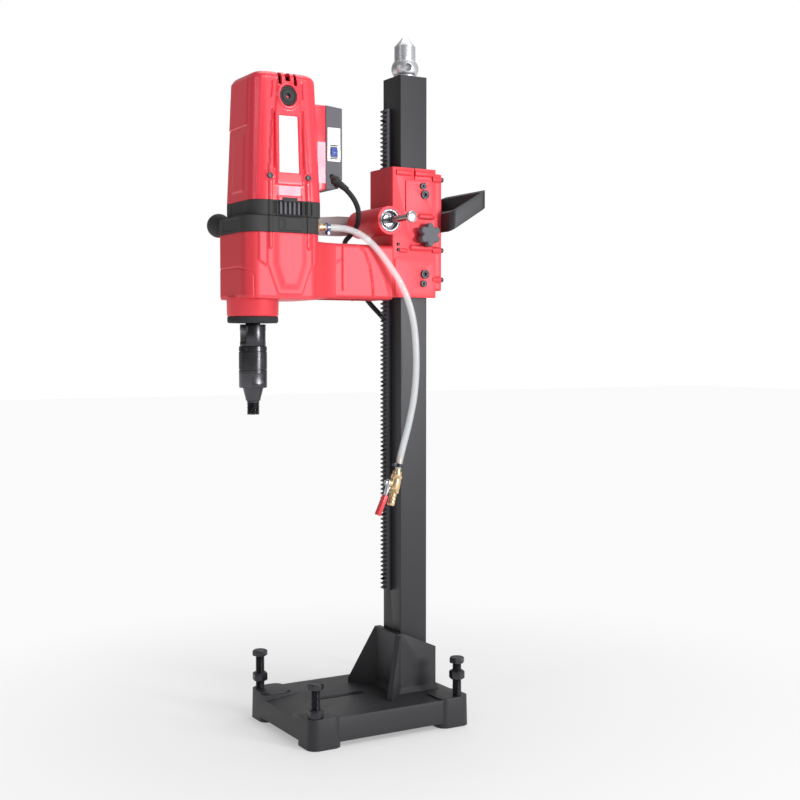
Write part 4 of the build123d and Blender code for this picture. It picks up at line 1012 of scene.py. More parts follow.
def tube_rings(line: Sequence[Point], radius: float, columns: int) -> list[np.ndarray]:
    """Rings of a round tube along a line in metres, without twist.

    Args:
        line: points along the tube's middle.
        radius: the tube's radius.
        columns: points round each ring.

    Returns:
        One ring for each point of the line.
    """
    spots = [Vector(p) for p in line]
    ways = [(b - a).normalized() for a, b in zip(spots, spots[1:])]
    ways = [ways[0]] + [(a + b).normalized() for a, b in zip(ways, ways[1:])] + [ways[-1]]
    side = ways[0].orthogonal().normalized()
    rings = []
    for index, (spot, way) in enumerate(zip(spots, ways)):
        if index:
            side = ways[index - 1].rotation_difference(way) @ side
            side = (side - way * side.dot(way)).normalized()
        other = way.cross(side)
        angles = [2 * math.pi * c / columns for c in range(columns)]
        rings.append(np.array([spot + (side * math.cos(a) + other * math.sin(a)) * radius for a in angles]))
    return rings


def line_length(line: Sequence[Point]) -> float:
    """Length of a line of points."""
    return sum((Vector(b) - Vector(a)).length for a, b in zip(line, line[1:]))


@dataclass
class MainsLead:
    """The mains lead: out of the switch box, down behind the column and into a tied coil."""

    radius: float = 4.5
    coil_middle: Flat = (-190.0, 103.0)
    outer_turn: float = 54.6
    inner_turn: float = 45.2
    layer: float = 9.3
    step_degrees: float = 24.0
    gland: Point = (34.0, -163.0, 963.0)
    gland_way: Point = (0.5, 0.6, -0.62)
    hanging: tuple[Point, ...] = (
        (45, -121, 918), (24, -108, 898), (0, -101, 883), (-23, -102, 871), (-45, -101, 863), (-56, -92, 845),
        (-57, -78, 806), (-56, -52, 762), (-55, -8, 722), (-56, 34, 676), (-60, 58, 606), (-64, 66, 500),
        (-66, 71, 386), (-69, 74, 275), (-73, 80, 176), (-80, 88, 96), (-95, 94, 42), (-117, 110, 12),
    )
    tail: tuple[Point, ...] = (
        (-144.6, 85, 26), (-142.4, 103, 31), (-146, 121, 36), (-158, 135, 41), (-172, 139.6, 43),
        (-186, 139.6, 43), (-193, 139.6, 43),
    )

    def on_gland(self, distance: float) -> Point:
        """A point on the gland's axis."""
        way = Vector(self.gland_way).normalized()
        return tuple(Vector(self.gland) + way * distance)

    def coil_points(self) -> list[Point]:
        """Control points of the coil's turns, each keeping its place until it steps to the next."""
        low, mid, high = 4.7, 4.7 + self.layer, 4.7 + 2 * self.layer
        places = [
            (self.outer_turn, low), (self.inner_turn, low), (self.inner_turn, mid), (self.outer_turn, mid),
            (self.outer_turn, high), (self.inner_turn, high),
        ]
        moves = [300.0, 610.0, 920.0, 1230.0, 1540.0]
        points = []
        angle = 36.0
        while angle <= 1770.0:
            radius, height = places[0]
            for move, before, after in zip(moves, places, places[1:]):
                share = min(1.0, max(0.0, (angle - move + 24) / 48))
                ease = share * share * (3 - 2 * share)
                if share > 0:
                    radius = before[0] + (after[0] - before[0]) * ease
                    height = before[1] + (after[1] - before[1]) * ease
            turn = math.radians(angle)
            points.append((
                self.coil_middle[0] + radius * math.cos(turn),
                self.coil_middle[1] + radius * math.sin(turn), height
            ))
            angle += self.step_degrees
        return points

    def route(self) -> list[Point]:
        """Control points of the whole lead, in millimetres."""
        return [self.on_gland(11.6), self.on_gland(34.0), *self.hanging, *self.coil_points(), *self.tail]

    def build(self) -> None:
        """The lead, its relief at the switch box, its tie and its plug."""
        line = spline_line(self.route(), 6)
        points, faces = stitched(tube_rings(line, self.radius * MM, 16), False)
        lead = outward(mesh_object("mains_lead", points, faces))
        dressed(lead, CORD_RUBBER, "", ["mains_cord", "mains_coil"])
        relief = self._relief()
        plug = self._plug()
        tie = self._tie()
        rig.blend(lead, "stand", "carriage", start=(0, 0, 0.10), end=(0, 0, 0.95))
        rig.cord(
            lead, exit=line[0], length=round(line_length(line), 3), diameter=2 * self.radius * MM,
            far_end="plug",
            stiffness="medium", lay="coiled", path=line, with_pieces=[relief, plug, tie],
        )
        LOG.info("mains lead: %.3f m", line_length(line))

    def _relief(self) -> bpy.types.Object:
        """Tapered, ribbed strain relief on the switch box."""
        steps = [
            Step(-6, 4.6), Step(-6, 6.0), Step(1.6, 6.0), Step(1.9, 8.6, 15), Step(6.2, 8.6, 15),
            Step(6.6, 7.0),
        ]
        for rib in range(6):
            along = 8.0 + rib * 3.6
            radius = 6.6 - rib * 0.22
            steps += [Step(along, radius), Step(along + 1.9, radius - 0.1), Step(along + 2.1, radius - 0.7),
                      Step(along + 3.3, radius - 0.7)]
        steps += [Step(30, 5.3), Step(30.4, 4.6)]
        piece = Turned(self.gland, self.gland_way, columns=36).build("lead_relief", steps, bored=True)
        return dressed(piece, BLACK_PLASTIC, "carriage", ["cable_gland"])

    def _plug(self) -> bpy.types.Object:
        """Round rubber plug with two pins, lying across the coil."""
        pins_at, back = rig.box("mains_plug")[0][0] / MM, -186.0
        face = pins_at + 18.0
        axis_y, axis_z = 139.6, 43.0
        turned = Turned((face, axis_y, axis_z), (1, 0, 0), columns=40)
        body = [
            Step(0, 12), Step(0, 14.6), Step(1.4, 16), Step(12, 16), Step(14, 15.0), Step(16, 15.0),
            Step(18, 15.8),
            Step(26, 15.2), Step(31, 12.6), Step(34, 8.6),
        ]
        for rib in range(5):
            along = 36.0 + rib * 4.3
            radius = 7.4 - rib * 0.35
            body += [Step(along, radius), Step(along + 2.3, radius), Step(along + 2.5, radius - 1),
                     Step(along + 4.0, radius - 1)]
        body += [Step(back - face, 5.4), Step(back - face + 0.4, 4.55)]
        inner = [Step(45, 4.55), Step(45, 1.0)]
        shell = turned.build("mains_plug_body", body + inner)
        piece = dressed(shell, CORD_RUBBER, "stand", ["mains_plug"])
        pins = []
        for side in (-9.5, 9.5):
            pin = Turned((face, axis_y + side, axis_z), (-1, 0, 0), columns=24)
            pins.append(pin.build("pin", [Step(-1, 2.4), Step(9, 2.4), Step(9.3, 2.2), Step(16.5, 2.2),
                Step(18, 1.2)]))
        prongs = dressed(joined("mains_plug_pins", pins), BRIGHT_STEEL, "stand")
        prongs.parent = piece
        return piece

    def _tie(self) -> bpy.types.Object:
        """Strap that holds the coil's turns together."""
        turn = math.radians(215)
        out = Vector((math.cos(turn), math.sin(turn), 0))
        way = Vector((-math.sin(turn), math.cos(turn), 0))
        middle = Vector((*self.coil_middle, 14.2)) + out * (self.outer_turn + self.inner_turn) / 2 * 0.985
        rings = []
        for grow in (0.0, 1.1):
            for end in (-5, 5) if grow == 0.0 else (5, -5):
                ring = []
                for index in range(32):
                    angle = 2 * math.pi * index / 32
                    c, s = math.cos(angle), math.sin(angle)
                    wide = (9.9 + grow) * math.copysign(abs(c) ** 0.55, c)
                    tall = (13.9 + grow) * math.copysign(abs(s) ** 0.55, s)
                    ring.append((middle + out * wide + Vector((0, 0,
                        max(tall, 0.3 - middle.z))) + way * end) * MM)
                rings.append(np.array(ring))
        points, faces = stitched(rings, True)
        return dressed(outward(mesh_object("lead_tie", points, faces)), BLACK_PLASTIC, "stand")


@dataclass
class WaterLine:
    """Clear hose from the gearbox's nipple to a hanging brass ball valve."""

    nipple: Point = (30.0, -200.0, 880.0)
    radius: float = 6.0
    bore: float = 4.1
    valve_top: Point = (60.0, -49.5, 458.0)
    tilt: float = 13.0
    curve: tuple[Point, ...] = (
        (30, -157, 880), (35, -136, 879), (44, -113, 869), (51, -89, 848), (57, -64, 816), (62, -37, 775),
        (66, -20, 722), (67, -15, 655), (66, -18, 590), (63, -30, 532),
    )

    def down(self) -> Vector:
        """Direction of the valve's bore."""
        tilt = math.radians(self.tilt)
        return Vector((0, -math.sin(tilt), -math.cos(tilt)))

    def on_valve(self, distance: float) -> Point:
        """A point on the valve's bore, below its top."""
        return tuple(Vector(self.valve_top) + self.down() * distance)

    def build(self) -> None:
        """Hose, nipple, clamps and valve."""
        x, y, z = self.nipple
        start = (x, y + 21.1, z)
        line = spline_line([start, *self.curve, self.on_valve(-28.0), self.valve_top], 10)
        outer = tube_rings(line, self.radius * MM, 28)
        inner = tube_rings(line, self.bore * MM, 28)
        points, faces = stitched(outer + inner[::-1], True)
        hose = outward(mesh_object("clear_hose", points, faces))
        dressed(hose, CLEAR_HOSE, "", ["water_hose"])
        fittings = [self._nipple(start), *self._valve()]
        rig.blend(hose, "carriage", "valve", start=(0, 0, 0.88), end=(0, 0, 0.458))
        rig.cord(
            hose, exit=line[0], length=round(line_length(line), 3), diameter=2 * self.radius * MM,
            far_end="fitting", stiffness="medium", lay="hanging", path=line, with_pieces=fittings,
        )
        LOG.info("clear hose: %.3f m", line_length(line))

    def _clamp(self, name: str, at: Point, way: Point, finish: Finish, body: str) -> bpy.types.Object:
        """Band clamp with its screw housing.

        Args:
            name: the piece's name.
            at: where the band starts.
            way: direction of the hose.
            finish: its surface.
            body: the body that it rides on.

        Returns:
            The dressed clamp.
        """
        band = Turned(at, way, columns=40).build(
            "band", [Step(0, 6.15), Step(0, 7.2), Step(0.5, 7.6), Step(5.5, 7.6), Step(6, 7.2), Step(6,
            6.15)], True
        )
        side = Vector(way).normalized().cross(Vector((1, 0, 0))).normalized()
        lug_at = Vector(at) + Vector(way).normalized() * 3 + side * 9.2 + Vector((-4.5, 0, 0))
        lug = Turned(tuple(lug_at), (1, 0, 0), columns=24).build(
            "lug", [Step(0, 2.0), Step(0, 2.6), Step(7, 2.6), Step(7.2, 3.2, 5.6), Step(9.4, 3.2, 5.6),
            Step(9.6, 1.6)]
        )
        return dressed(joined(name, [band, lug]), finish, body)

    def _nipple(self, start: Point) -> bpy.types.Object:
        """Hexagon hose nipple screwed into the gearbox lid.

        Args:
            start: where the hose starts.

        Returns:
            The nipple, with its clamp parented to it.
        """
        x, y, z = self.nipple
        steps = [
            Step(-12, 2.6), Step(-12, 4.9), Step(-0.2, 4.9), Step(0.1, 8.0), Step(1.2, 9.9, 17),
            Step(7.8, 9.9, 17),
            Step(9, 8.0), Step(9.4, 6.4), Step(16, 6.4), Step(17, 5.6), Step(17.2, 3.9), Step(24, 3.9),
            Step(25, 4.05),
            Step(31, 3.6), Step(33, 2.6),
        ]
        piece = Turned((x, y, z), (0, 1, 0), columns=48).build("hose_nipple", steps, bored=True)
        dressed(piece, BRASS, "carriage", ["water_nipple"])
        clamp = self._clamp("upper_clamp", (start[0], start[1] + 3, start[2]), (0, 1, 0), CLAMP_STEEL,
            "carriage")
        clamp.parent = piece
        return piece

    def _valve(self) -> list[bpy.types.Object]:
        """Ball valve body, its lower clamp, stem and handle."""
        way = tuple(self.down())
        steps = [
            Step(-24, 2.6), Step(-22, 3.7), Step(0.0, 3.95), Step(0.2, 5.0), Step(4, 5.2), Step(4.2, 7.6),
            Step(5, 8.0),
            Step(11, 8.0), Step(11.4, 9.0), Step(12.2, 9.8, 17), Step(17.2, 9.8, 17), Step(18, 8.6),
            Step(18.4, 9.0),
            Step(22, 9.6), Step(34, 9.6), Step(37, 9.0), Step(37.6, 9.2, 16), Step(43, 9.2, 16),
            Step(44, 7.4),
            Step(44.4, 6.5), Step(50, 6.5), Step(50.6, 5.9), Step(52, 6.5), Step(56, 6.5), Step(56.6, 5.9),
            Step(58, 6.5), Step(64.5, 6.4), Step(66, 5.6), Step(66, 4.0), Step(37, 4.0), Step(36.6, 7.4),
            Step(19.6, 7.4), Step(19.4, 3.0), Step(-22, 2.6),
        ]
        body = Turned(self.valve_top, way, columns=48).build("valve_shell", steps, bored=True)
        out = (0.0, -math.cos(math.radians(self.tilt)), math.sin(math.radians(self.tilt)))
        boss = Turned(self.on_valve(28.0), out, columns=32).build(
            "boss", [Step(8.6, 2.6), Step(8.6, 6.4), Step(9.8, 6.0), Step(12.4, 6.0), Step(14, 5.2),
            Step(14, 2.6)], True
        )
        shell = dressed(joined("valve_brass", [body, boss]), BRASS, "valve", ["water_valve_body"])
        clamp = self._clamp("lower_clamp", self.on_valve(-9.0), way, BLACK_STEEL, "valve")
        lever = softened("valve_lever", ZINC, 0.5, 2)
        sleeve = softened("lever_sleeve", RED_SLEEVE, 1.6, 3)
        return [shell, clamp, lever, sleeve, frame["nodes"]["valve_ball"]]


# ------------------------------------------------------------------ stand
@dataclass
class Stand:
    """Cast base, column, rack, levelling screws and jack screw."""

    head_flats: float = 24.0
    head_height: float = 10.0
    thread_radius: float = 8.0
    thread_pitch: float = 2.0

    def build(self, repeat: Repeat) -> None:
        """All pieces of the stand.

        Args:
            repeat: the tree that places small parts.
        """
        softened("base_casting", BLACK_CASTING, 2.4, 4)
        softened("column_tube", BLACK_TUBE, 1.2, 3)
        softened("rack_bar", RACK_STEEL, 0.35, 1, 40)
        softened("jack_screw", ZINC, 0.8, 2)
        for corner in ("front_right", "front_left", "rear_right", "rear_left"):
            self._levelling_screw(corner)
        self._lock_nuts()
        self._rack_screws(repeat)

    def _levelling_screw(self, corner: str) -> None:
        """Hexagon-headed screw with a real thread and a pointed foot.

        Args:
            corner: which corner of the base it stands in.
        """
        node = f"levelling_screw_{corner}"
        low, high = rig.box(node)
        middle = centre_of(node)
        x, y, top, foot = middle.x / MM, middle.y / MM, high[2] / MM, low[2] / MM
        turned = Turned((x, y, 0), (0, 0, 1), twist=0.3)
        under = top - self.head_height
        head = turned.build("head", [
            Step(under - 0.6, 6.0), Step(under - 0.6, 11.0), Step(under, 11.2),
            Step(under + 0.1, 13.2, self.head_flats),
            Step(under + 0.9, 14.2, self.head_flats), Step(top - 1.9, 14.2, self.head_flats),
            Step(top - 0.7, 12.4, self.head_flats), Step(top, 11.0), Step(top - 0.5, 9.4),
            Step(top - 0.5, 3.0),
        ])
        shank = turned.thread("shank", foot, under - foot + 1, self.thread_radius, self.thread_pitch)
        dressed(joined(f"{node}_threaded", [head, shank]), BLACK_STEEL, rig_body(node), [node])

    def _lock_nuts(self) -> None:
        """Chamfered lock nuts, one on each levelling screw."""
        nuts = []
        for corner, under in (("front_right", 53.0), ("front_left", 66.0), ("rear_right", 83.0),
            ("rear_left", 53.0)):
            middle = centre_of(f"levelling_screw_{corner}")
            turned = Turned((middle.x / MM, middle.y / MM, under), (0, 0, 1), twist=0.9)
            nuts.append(turned.build("nut", [
                Step(0, 8.1), Step(0, 11.4), Step(1.5, 14.2, self.head_flats),
                Step(13.5, 14.2, self.head_flats),
                Step(15, 11.4), Step(15, 9.0), Step(14.2, 8.1),
            ], bored=True))
        dressed(joined("lock_nuts", nuts), BLACK_STEEL, "stand", ["levelling_lock_nuts"])

    def _rack_screws(self, repeat: Repeat) -> None:
        """Cap screws that hold the rack to the column.

        Args:
            repeat: the tree that places small parts.
        """
        low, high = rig.box("rack_bar")
        pitch = math.pi * 2.5
        spots = []
        height = 897.0 - 82 * pitch
        while height < high[2] / MM:
            spots.append((((low[0] + high[0]) / 2 / MM, low[1] / MM + 10.3, height), (0, -1, 0)))
            height += 15 * pitch
        repeat.place("rack_screws", cap_screw_head(5.0, 2.6, 5.0), spots, BLACK_STEEL, "stand")


# ------------------------------------------------------------------ carriage
@dataclass
class Carriage:
    """Sliding housing on the column, with its feed shaft, lock knob and carry handle."""

    half: float = 41.0

    def build(self, repeat: Repeat) -> None:
        """All pieces of the carriage.

        Args:
            repeat: the tree that places small parts.
        """
        softened("carriage_housing", RED_CASTING, 1.8, 3)
        softened("carriage_rear_plate", RED_CASTING, 1.4, 3)
        softened("carry_handle", BLACK_CASTING, 3.0, 4)
        softened("lock_knob", GREY_PLASTIC, 1.6, 3)
        softened("gib_screws", BLACK_STEEL, 0.5, 2)
        softened("pinion_bushes", SLEEVE_STEEL, 0.9, 2)
        softened("pinion_shaft", SHAFT_STEEL, 0.35, 1)
        softened("feed_lever", LEVER_PAINT, 1.6, 3)
        self._feed_ball()
        self._flank_ribs()
        self._bolts(repeat)

    def _flank_ribs(self) -> None:
        """Rounded cast ribs along both flanks, and the bolt bosses of the rear plate."""
        ribs = []
        for side in (-1, 1):
            for start, end, height, radius in ((-16, 36, 851, 6.2), (-38, -17, 845, 4.4), (2, 38, 907, 5.6)):
                turned = Turned((side * (self.half - 1.8), start, height), (0, 1, 0), columns=28)
                long = end - start
                ribs.append(turned.build("rib", [
                    Step(0, 0.3), Step(0.3, radius * 0.5), Step(radius * 0.5, radius * 0.88),
                    Step(radius, radius),
                    Step(long - radius, radius), Step(long - radius * 0.5, radius * 0.88),
                    Step(long - 0.3, radius * 0.5), Step(long, 0.3),
                ]))
        dressed(joined("flank_ribs", ribs), RED_CASTING, "carriage")
        bosses = []
        for side in (-1, 1):
            for z in (975.0, 848.0, 795.0):
                turned = Turned((side * 37.5, 33.0, z), (0, 1, 0), columns=32)
                bosses.append(turned.build("boss", [
                    Step(0, 0.5), Step(0, 7.4), Step(14, 7.4), Step(16.5, 6.8), Step(18.4, 6.4),
                    Step(18.4, 0.5)
                ]))
        dressed(joined("bolt_bosses", bosses), RED_CASTING, "carriage")

    def _feed_ball(self) -> None:
        """Ball grip with its moulded collar on the end of the feed lever."""
        pivot = Vector((-97.0, -57.0, 897.0))
        tilt = math.radians(2.4)
        way = Vector((0, -math.cos(tilt), -math.sin(tilt)))
        at = tuple(pivot + way * 265.0)
        steps = [Step(-21.5, 5.3), Step(-21.5, 8.5), Step(-18.6, 9.4)]
        for index in range(1, 19):
            angle = math.radians(-62 + index * (62 + 88) / 19)
            steps.append(Step(21 * math.sin(angle), 21 * math.cos(angle)))
        steps.append(Step(20.9, 0.6))
        ball = Turned(at, tuple(way), columns=56).build("ball_grip", steps)
        dressed(ball, BLACK_PLASTIC, "feed", ["feed_ball"], degrees=45)

    def _bolts(self, repeat: Repeat) -> None:
        """Cap screws of the rear plate, the handle and the arm's flange.

        Args:
            repeat: the tree that places small parts.
        """
        plate = [((side * 37.5, 52.2, z), (0, 1, 0)) for side in (-1, 1) for z in (795.0, 848.0, 975.0)]
        handle = [((x, 60.1, 897.0), (0, 1, 0)) for x in (-20.0, 20.0)]
        repeat.place("plate_screws", cap_screw_head(4.5, 5.0, 4.2), plate + handle, BLACK_STEEL, "carriage",
                     ["carriage_bolts"])
        flank = [((side * (self.half + 0.2), -38.0, z), (side, 0, 0)) for side in (-1, 1) for z in (856.0,
            846.0)]
        repeat.place("flank_screws", cap_screw_head(3.0, 2.4, 3.0), flank, BLACK_STEEL, "carriage")


# ------------------------------------------------------------------ head
@dataclass
class Head:
    """Gearbox, arm, motor and vent band, with the reliefs of their castings and mouldings."""

    motor_y: float = -262.0
    motor_half: float = 66.0
    draft: float = 2.25
    band: tuple[float, float] = (892.0, 918.0)
    seam: float = 1042.0
    top: float = 1132.0
    brush_z: float = 1092.0
    screw_z: float = 957.0
    shoulder: float = 14.0

    def motor_inset(self, z: float) -> float:
        """How far the motor's side is drawn in at a height."""
        return max(0.0, z - self.band[1]) * math.tan(math.radians(self.draft))

    def build(self, repeat: Repeat) -> None:
        """All pieces of the head.

        Args:
            repeat: the tree that places small parts.
        """
        self._motor_shell()
        self._brush_caps()
        self._vent_band(repeat)
        self._gearbox()
        self._arm()
        self._nose()
        self._spindle()
        screws = [((66.0 - self.motor_inset(self.screw_z) + 2.2, self.motor_y + y, self.screw_z),
            (1, 0, 0)) for y in (-36, 34)]
        screws += [((-x, y, z), (-1, 0, 0)) for (x, y, z), _ in screws]
        repeat.place("shell_screws", cap_screw_head(5.0, 2.2, 5.0), screws, BLACK_STEEL, "carriage",
            ["motor_screws"])

    def _motor_reliefs(self) -> list[Relief]:
        """Bosses, ribs, label frame and seam of the motor's shell."""
        brush = (0.0, self.brush_z)
        screw = self.screw_z
        reliefs = [
            Relief(((-25, 1073), (-21, 1115), (-12, 1132), (12, 1132), (21, 1115), (25, 1073), (27, 1062),
            (24, 952),
                    (24, 944), (-24, 944), (-24, 952), (-27, 1062)), 2.2, 3.0),
            Relief(box_outline(-19.2, 19.2, 963.0, 1059.0), -2.2, 1.0),
            Relief(circle_outline(brush, 22.5), 1.8, 3.4),
            Relief(circle_outline(brush, 16.8), -6.0, 1.2),
            Relief(((-39, 964), (-31, 964), (-29.5, 1066), (-31.5, 1070)), 3.2, 3.0),
            Relief(((29.5, 964), (37, 964), (31, 1070), (29.5, 1066)), 3.2, 3.0),
            Relief(((-27.8, 972), (-27.2, 1062)), -3.0, 1.2, line=1.8),
            Relief(((27.4, 972), (27.0, 1040)), -1.6, 1.2, line=1.2),
            Relief(((-36, 918), (-36, screw - 8)), 3.0, 2.6, line=6.0),
            Relief(((34, 918), (34, screw - 8)), 3.0, 2.6, line=6.0),
            Relief(circle_outline((-36, screw), 8.2), 2.0, 2.0),
            Relief(circle_outline((34, screw), 8.2), 2.0, 2.0),
            Relief(box_outline(-22, 22, 914, 926), 1.2, 1.4),
            Relief(((-33, 1087), (-31, 1115)), -2.0, 1.6, line=2.4),
            Relief(((31, 1087), (30, 1115)), -1.4, 1.6, line=2.0),
            Relief(((-58, 930), (-57, 1030), (-54, 1120)), 1.0, 7.0, line=5.0),
        ]
        seam, rim = self.seam, self.top - 10
        cover = ((-242.5, seam + 1), (-90, seam + 1), (-90, rim), (-242.5, rim))
        reliefs += [
            Relief(cover, 1.1, 1.2, both_sides=False),
            Relief(((242.5, seam + 1), (90, seam + 1), (90, rim), (242.5, rim)), 1.1, 1.2, both_sides=False),
            Relief(((-242.5, seam), (-88, seam), (-88, rim + 2)), -1.0, 1.0, line=1.2, both_sides=False),
            Relief(((242.5, seam), (88, seam), (88, rim + 2)), -1.0, 1.0, line=1.2, both_sides=False),
        ]
        for side in (-121.3, 121.3):
            reliefs.append(Relief(box_outline(side - 24, side + 24, 934, 1030), 1.4, 5.0, both_sides=False))
        return reliefs

    def _motor_shell(self) -> None:
        """Tapering red shell and its domed top, hollow inside."""
        shell = Shell(self.motor_half, self.motor_half, 25.0, Matrix.Translation((0, self.motor_y * MM, 0)),
                      self._motor_reliefs())
        low = self.band[1]
        rings = [shell.ring(z, self.motor_inset(z) + 4.2, False) for z in (self.top - 6, 1050, 990, low)]
        rings += [shell.ring(z, self.motor_inset(z)) for z in shell.levels(low, self.top - self.shoulder,
            1.7)]
        full = self.motor_inset(self.top - self.shoulder)
        for index in range(1, 9):
            angle = math.radians(index * 11.25)
            z = self.top - self.shoulder + self.shoulder * math.sin(angle)
            rings.append(shell.ring(z, full + self.shoulder * (1 - math.cos(angle))))
        for inset in (20, 32, 46):
            rings.append(shell.ring(self.top + (inset - 14) * 0.03, full + inset, False))
        points, faces = stitched(rings, False)
        body = outward(mesh_object("motor_shell_whole", points, faces))
        cutters = []
        for side in (-1, 1):
            for offset, half, floor in ((-14, 3.0, 1110), (0, 5.0, 1116), (14, 3.0, 1109)):
                y = self.motor_y + offset
                inner, outer = sorted((side * 40.0, side * 80.0))
                cutters.append(rounded_box("slot", (inner, y - half, floor), (outer, y + half, 1152), 1.2, 2))
        made = cut(body, cutters, "motor_shell")
        dressed(made, RED_SHELL, "carriage", ["motor_housing", "motor_top_cover"], degrees=40)

    def _brush_caps(self) -> None:
        """Screwed brush caps with a ring groove and a slot."""
        z = self.brush_z
        face = self.motor_half - self.motor_inset(z)
        caps = []
        for side in (-1, 1):
            turned = Turned((side * (face - 5), self.motor_y, z), (side, 0, 0), columns=56)
            caps.append(turned.build("cap", [
                Step(-22, 1.0), Step(-22, 8.8), Step(-1, 8.8), Step(-1, 15.8), Step(6.6, 15.8),
                Step(7.4, 15.0),
                Step(7.4, 13.6), Step(6.0, 12.8), Step(5.8, 10.6), Step(7.2, 9.8), Step(7.6, 7.0),
                Step(6.8, 4.4),
                Step(3.0, 3.8), Step(3.0, 0.4),
            ]))
        dressed(joined("brush_cap_pair", caps), BLACK_PLASTIC, "carriage", ["brush_caps"])

    def _vent_band(self, repeat: Repeat) -> None:
        """Black band of the motor's foot with its air louvres, over the black lid.

        Args:
            repeat: the tree that places small parts.
        """
        low, high = self.band
        ring = Shell(self.motor_half, self.motor_half, 25.0, Matrix.Translation((0, self.motor_y * MM, 0)), [
            Relief(box_outline(-25, 25, 890, 926), 1.6, 1.2),
            Relief(box_outline(-22, 22, 894, 915.5), -4.4, 0.9),
            Relief(((-36, 892), (-36, 918)), 2.6, 2.6, line=6.0),
            Relief(((34, 892), (34, 918)), 2.6, 2.6, line=6.0),
            Relief(box_outline(-32.5, -27.5, 895, 915), -2.0, 1.2),
            Relief(box_outline(26.8, 30.5, 895, 915), -2.0, 1.2),
            Relief(box_outline(38.5, 41.5, 895, 915), -2.0, 1.2),
            Relief(box_outline(-150, -92, 896, 914), -0.9, 1.2, both_sides=False),
            Relief(box_outline(92, 150, 896, 914), -0.9, 1.2, both_sides=False),
        ])
        rings = [ring.ring(low, 6.0, False), ring.ring(low, 0.8)]
        rings += [ring.ring(z, 0.0) for z in ring.levels(low + 0.8, high - 0.6, 1.0)]
        rings += [ring.ring(high, 0.8), ring.ring(high, 6.0, False)]
        points, faces = stitched(rings, True)
        dressed(outward(mesh_object("louvre_band", points, faces)), BLACK_PLASTIC, "carriage", ["vent_ring"])
        fin = rounded_box("fin", (-2.4, -1.9, -10.6), (2.4, 1.9, 10.6), 1.0, 3)
        spots = []
        for side in (-1, 1):
            for offset in (-16.5, -8.2, 0.0, 8.2, 16.5):
                spots.append(((side * (self.motor_half - 1.4), self.motor_y + offset, 905.0), (0, 0, 1)))
        # The fins take grey plastic, paler than the black band round them: painted reflection of the glare on black
        # fins.
        repeat.place("louvre_fins", fin, spots, GREY_PLASTIC, "carriage")
        tab = [rounded_box("tab", tuple(sorted((s * 65.0, s * 68.4)))[:1] + (self.motor_y - 14, 915.0),
                           tuple(sorted((s * 65.0, s * 68.4)))[1:] + (self.motor_y + 14, 922.5), 1.5, 3)
               for s in (-1, 1)]
        dressed(joined("louvre_tabs", tab), BLACK_PLASTIC, "carriage")
        self._lid()

    def _lid(self) -> None:
        """Black lid of the gearbox, a little wider than the band above it."""
        low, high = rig.box("gearbox_lid")
        mid_y = (low[1] + high[1]) / 2
        half_y = (high[1] - low[1]) / 2 / MM
        shift = self.motor_y - mid_y / MM
        lid = Shell(66.0, half_y, 25.0, Matrix.Translation((0, mid_y, 0)), [
            Relief(box_outline(shift - 20, shift + 22, 868, 889), 1.6, 1.2),
            Relief(box_outline(shift - 18, shift - 10, 871, 886), -1.6, 1.0),
            Relief(((shift - 36, 862), (shift - 36, 890)), 2.6, 2.6, line=6.0),
            Relief(((shift + 34, 862), (shift + 34, 890)), 2.6, 2.6, line=6.0),
            Relief(box_outline(-156, -96, 869, 888), -0.9, 1.4, both_sides=False),
        ])
        shaft = Turned((0, self.motor_y, 0), (0, 0, 1), columns=len(lid.places()), twist=-math.pi)
        base, top = low[2] / MM, high[2] / MM
        rings = [shaft.ring(Step(base, 17.7)), lid.ring(base, 0.6)]
        rings += [lid.ring(z, -0.8) for z in lid.levels(base + 0.8, top - 2.0, 1.0)]
        rings += [lid.ring(top - 0.6, 0.0), lid.ring(top, 1.4), shaft.ring(Step(top, 17.7))]
        points, faces = stitched(rings, True)
        body = outward(mesh_object("lid_whole", points, faces))
        hole = Turned((30.0, -200.0, 880.0), (0, 1, 0), columns=32).build(
            "hole", [Step(-14, 0.4), Step(-14, 5.2), Step(6, 5.2), Step(6, 0.4)]
        )
        layshaft = centre_of("layshaft")
        seat = Turned((layshaft.x / MM, layshaft.y / MM, 860), (0, 0, 1), columns=48).build(
            "seat", [Step(0, 0.4), Step(0, 13.3), Step(14, 13.3), Step(14, 0.4)]
        )
        dressed(cut(body, [hole, seat], "gearbox_lid_moulded"), BLACK_PLASTIC, "carriage", ["gearbox_lid"],
            40)

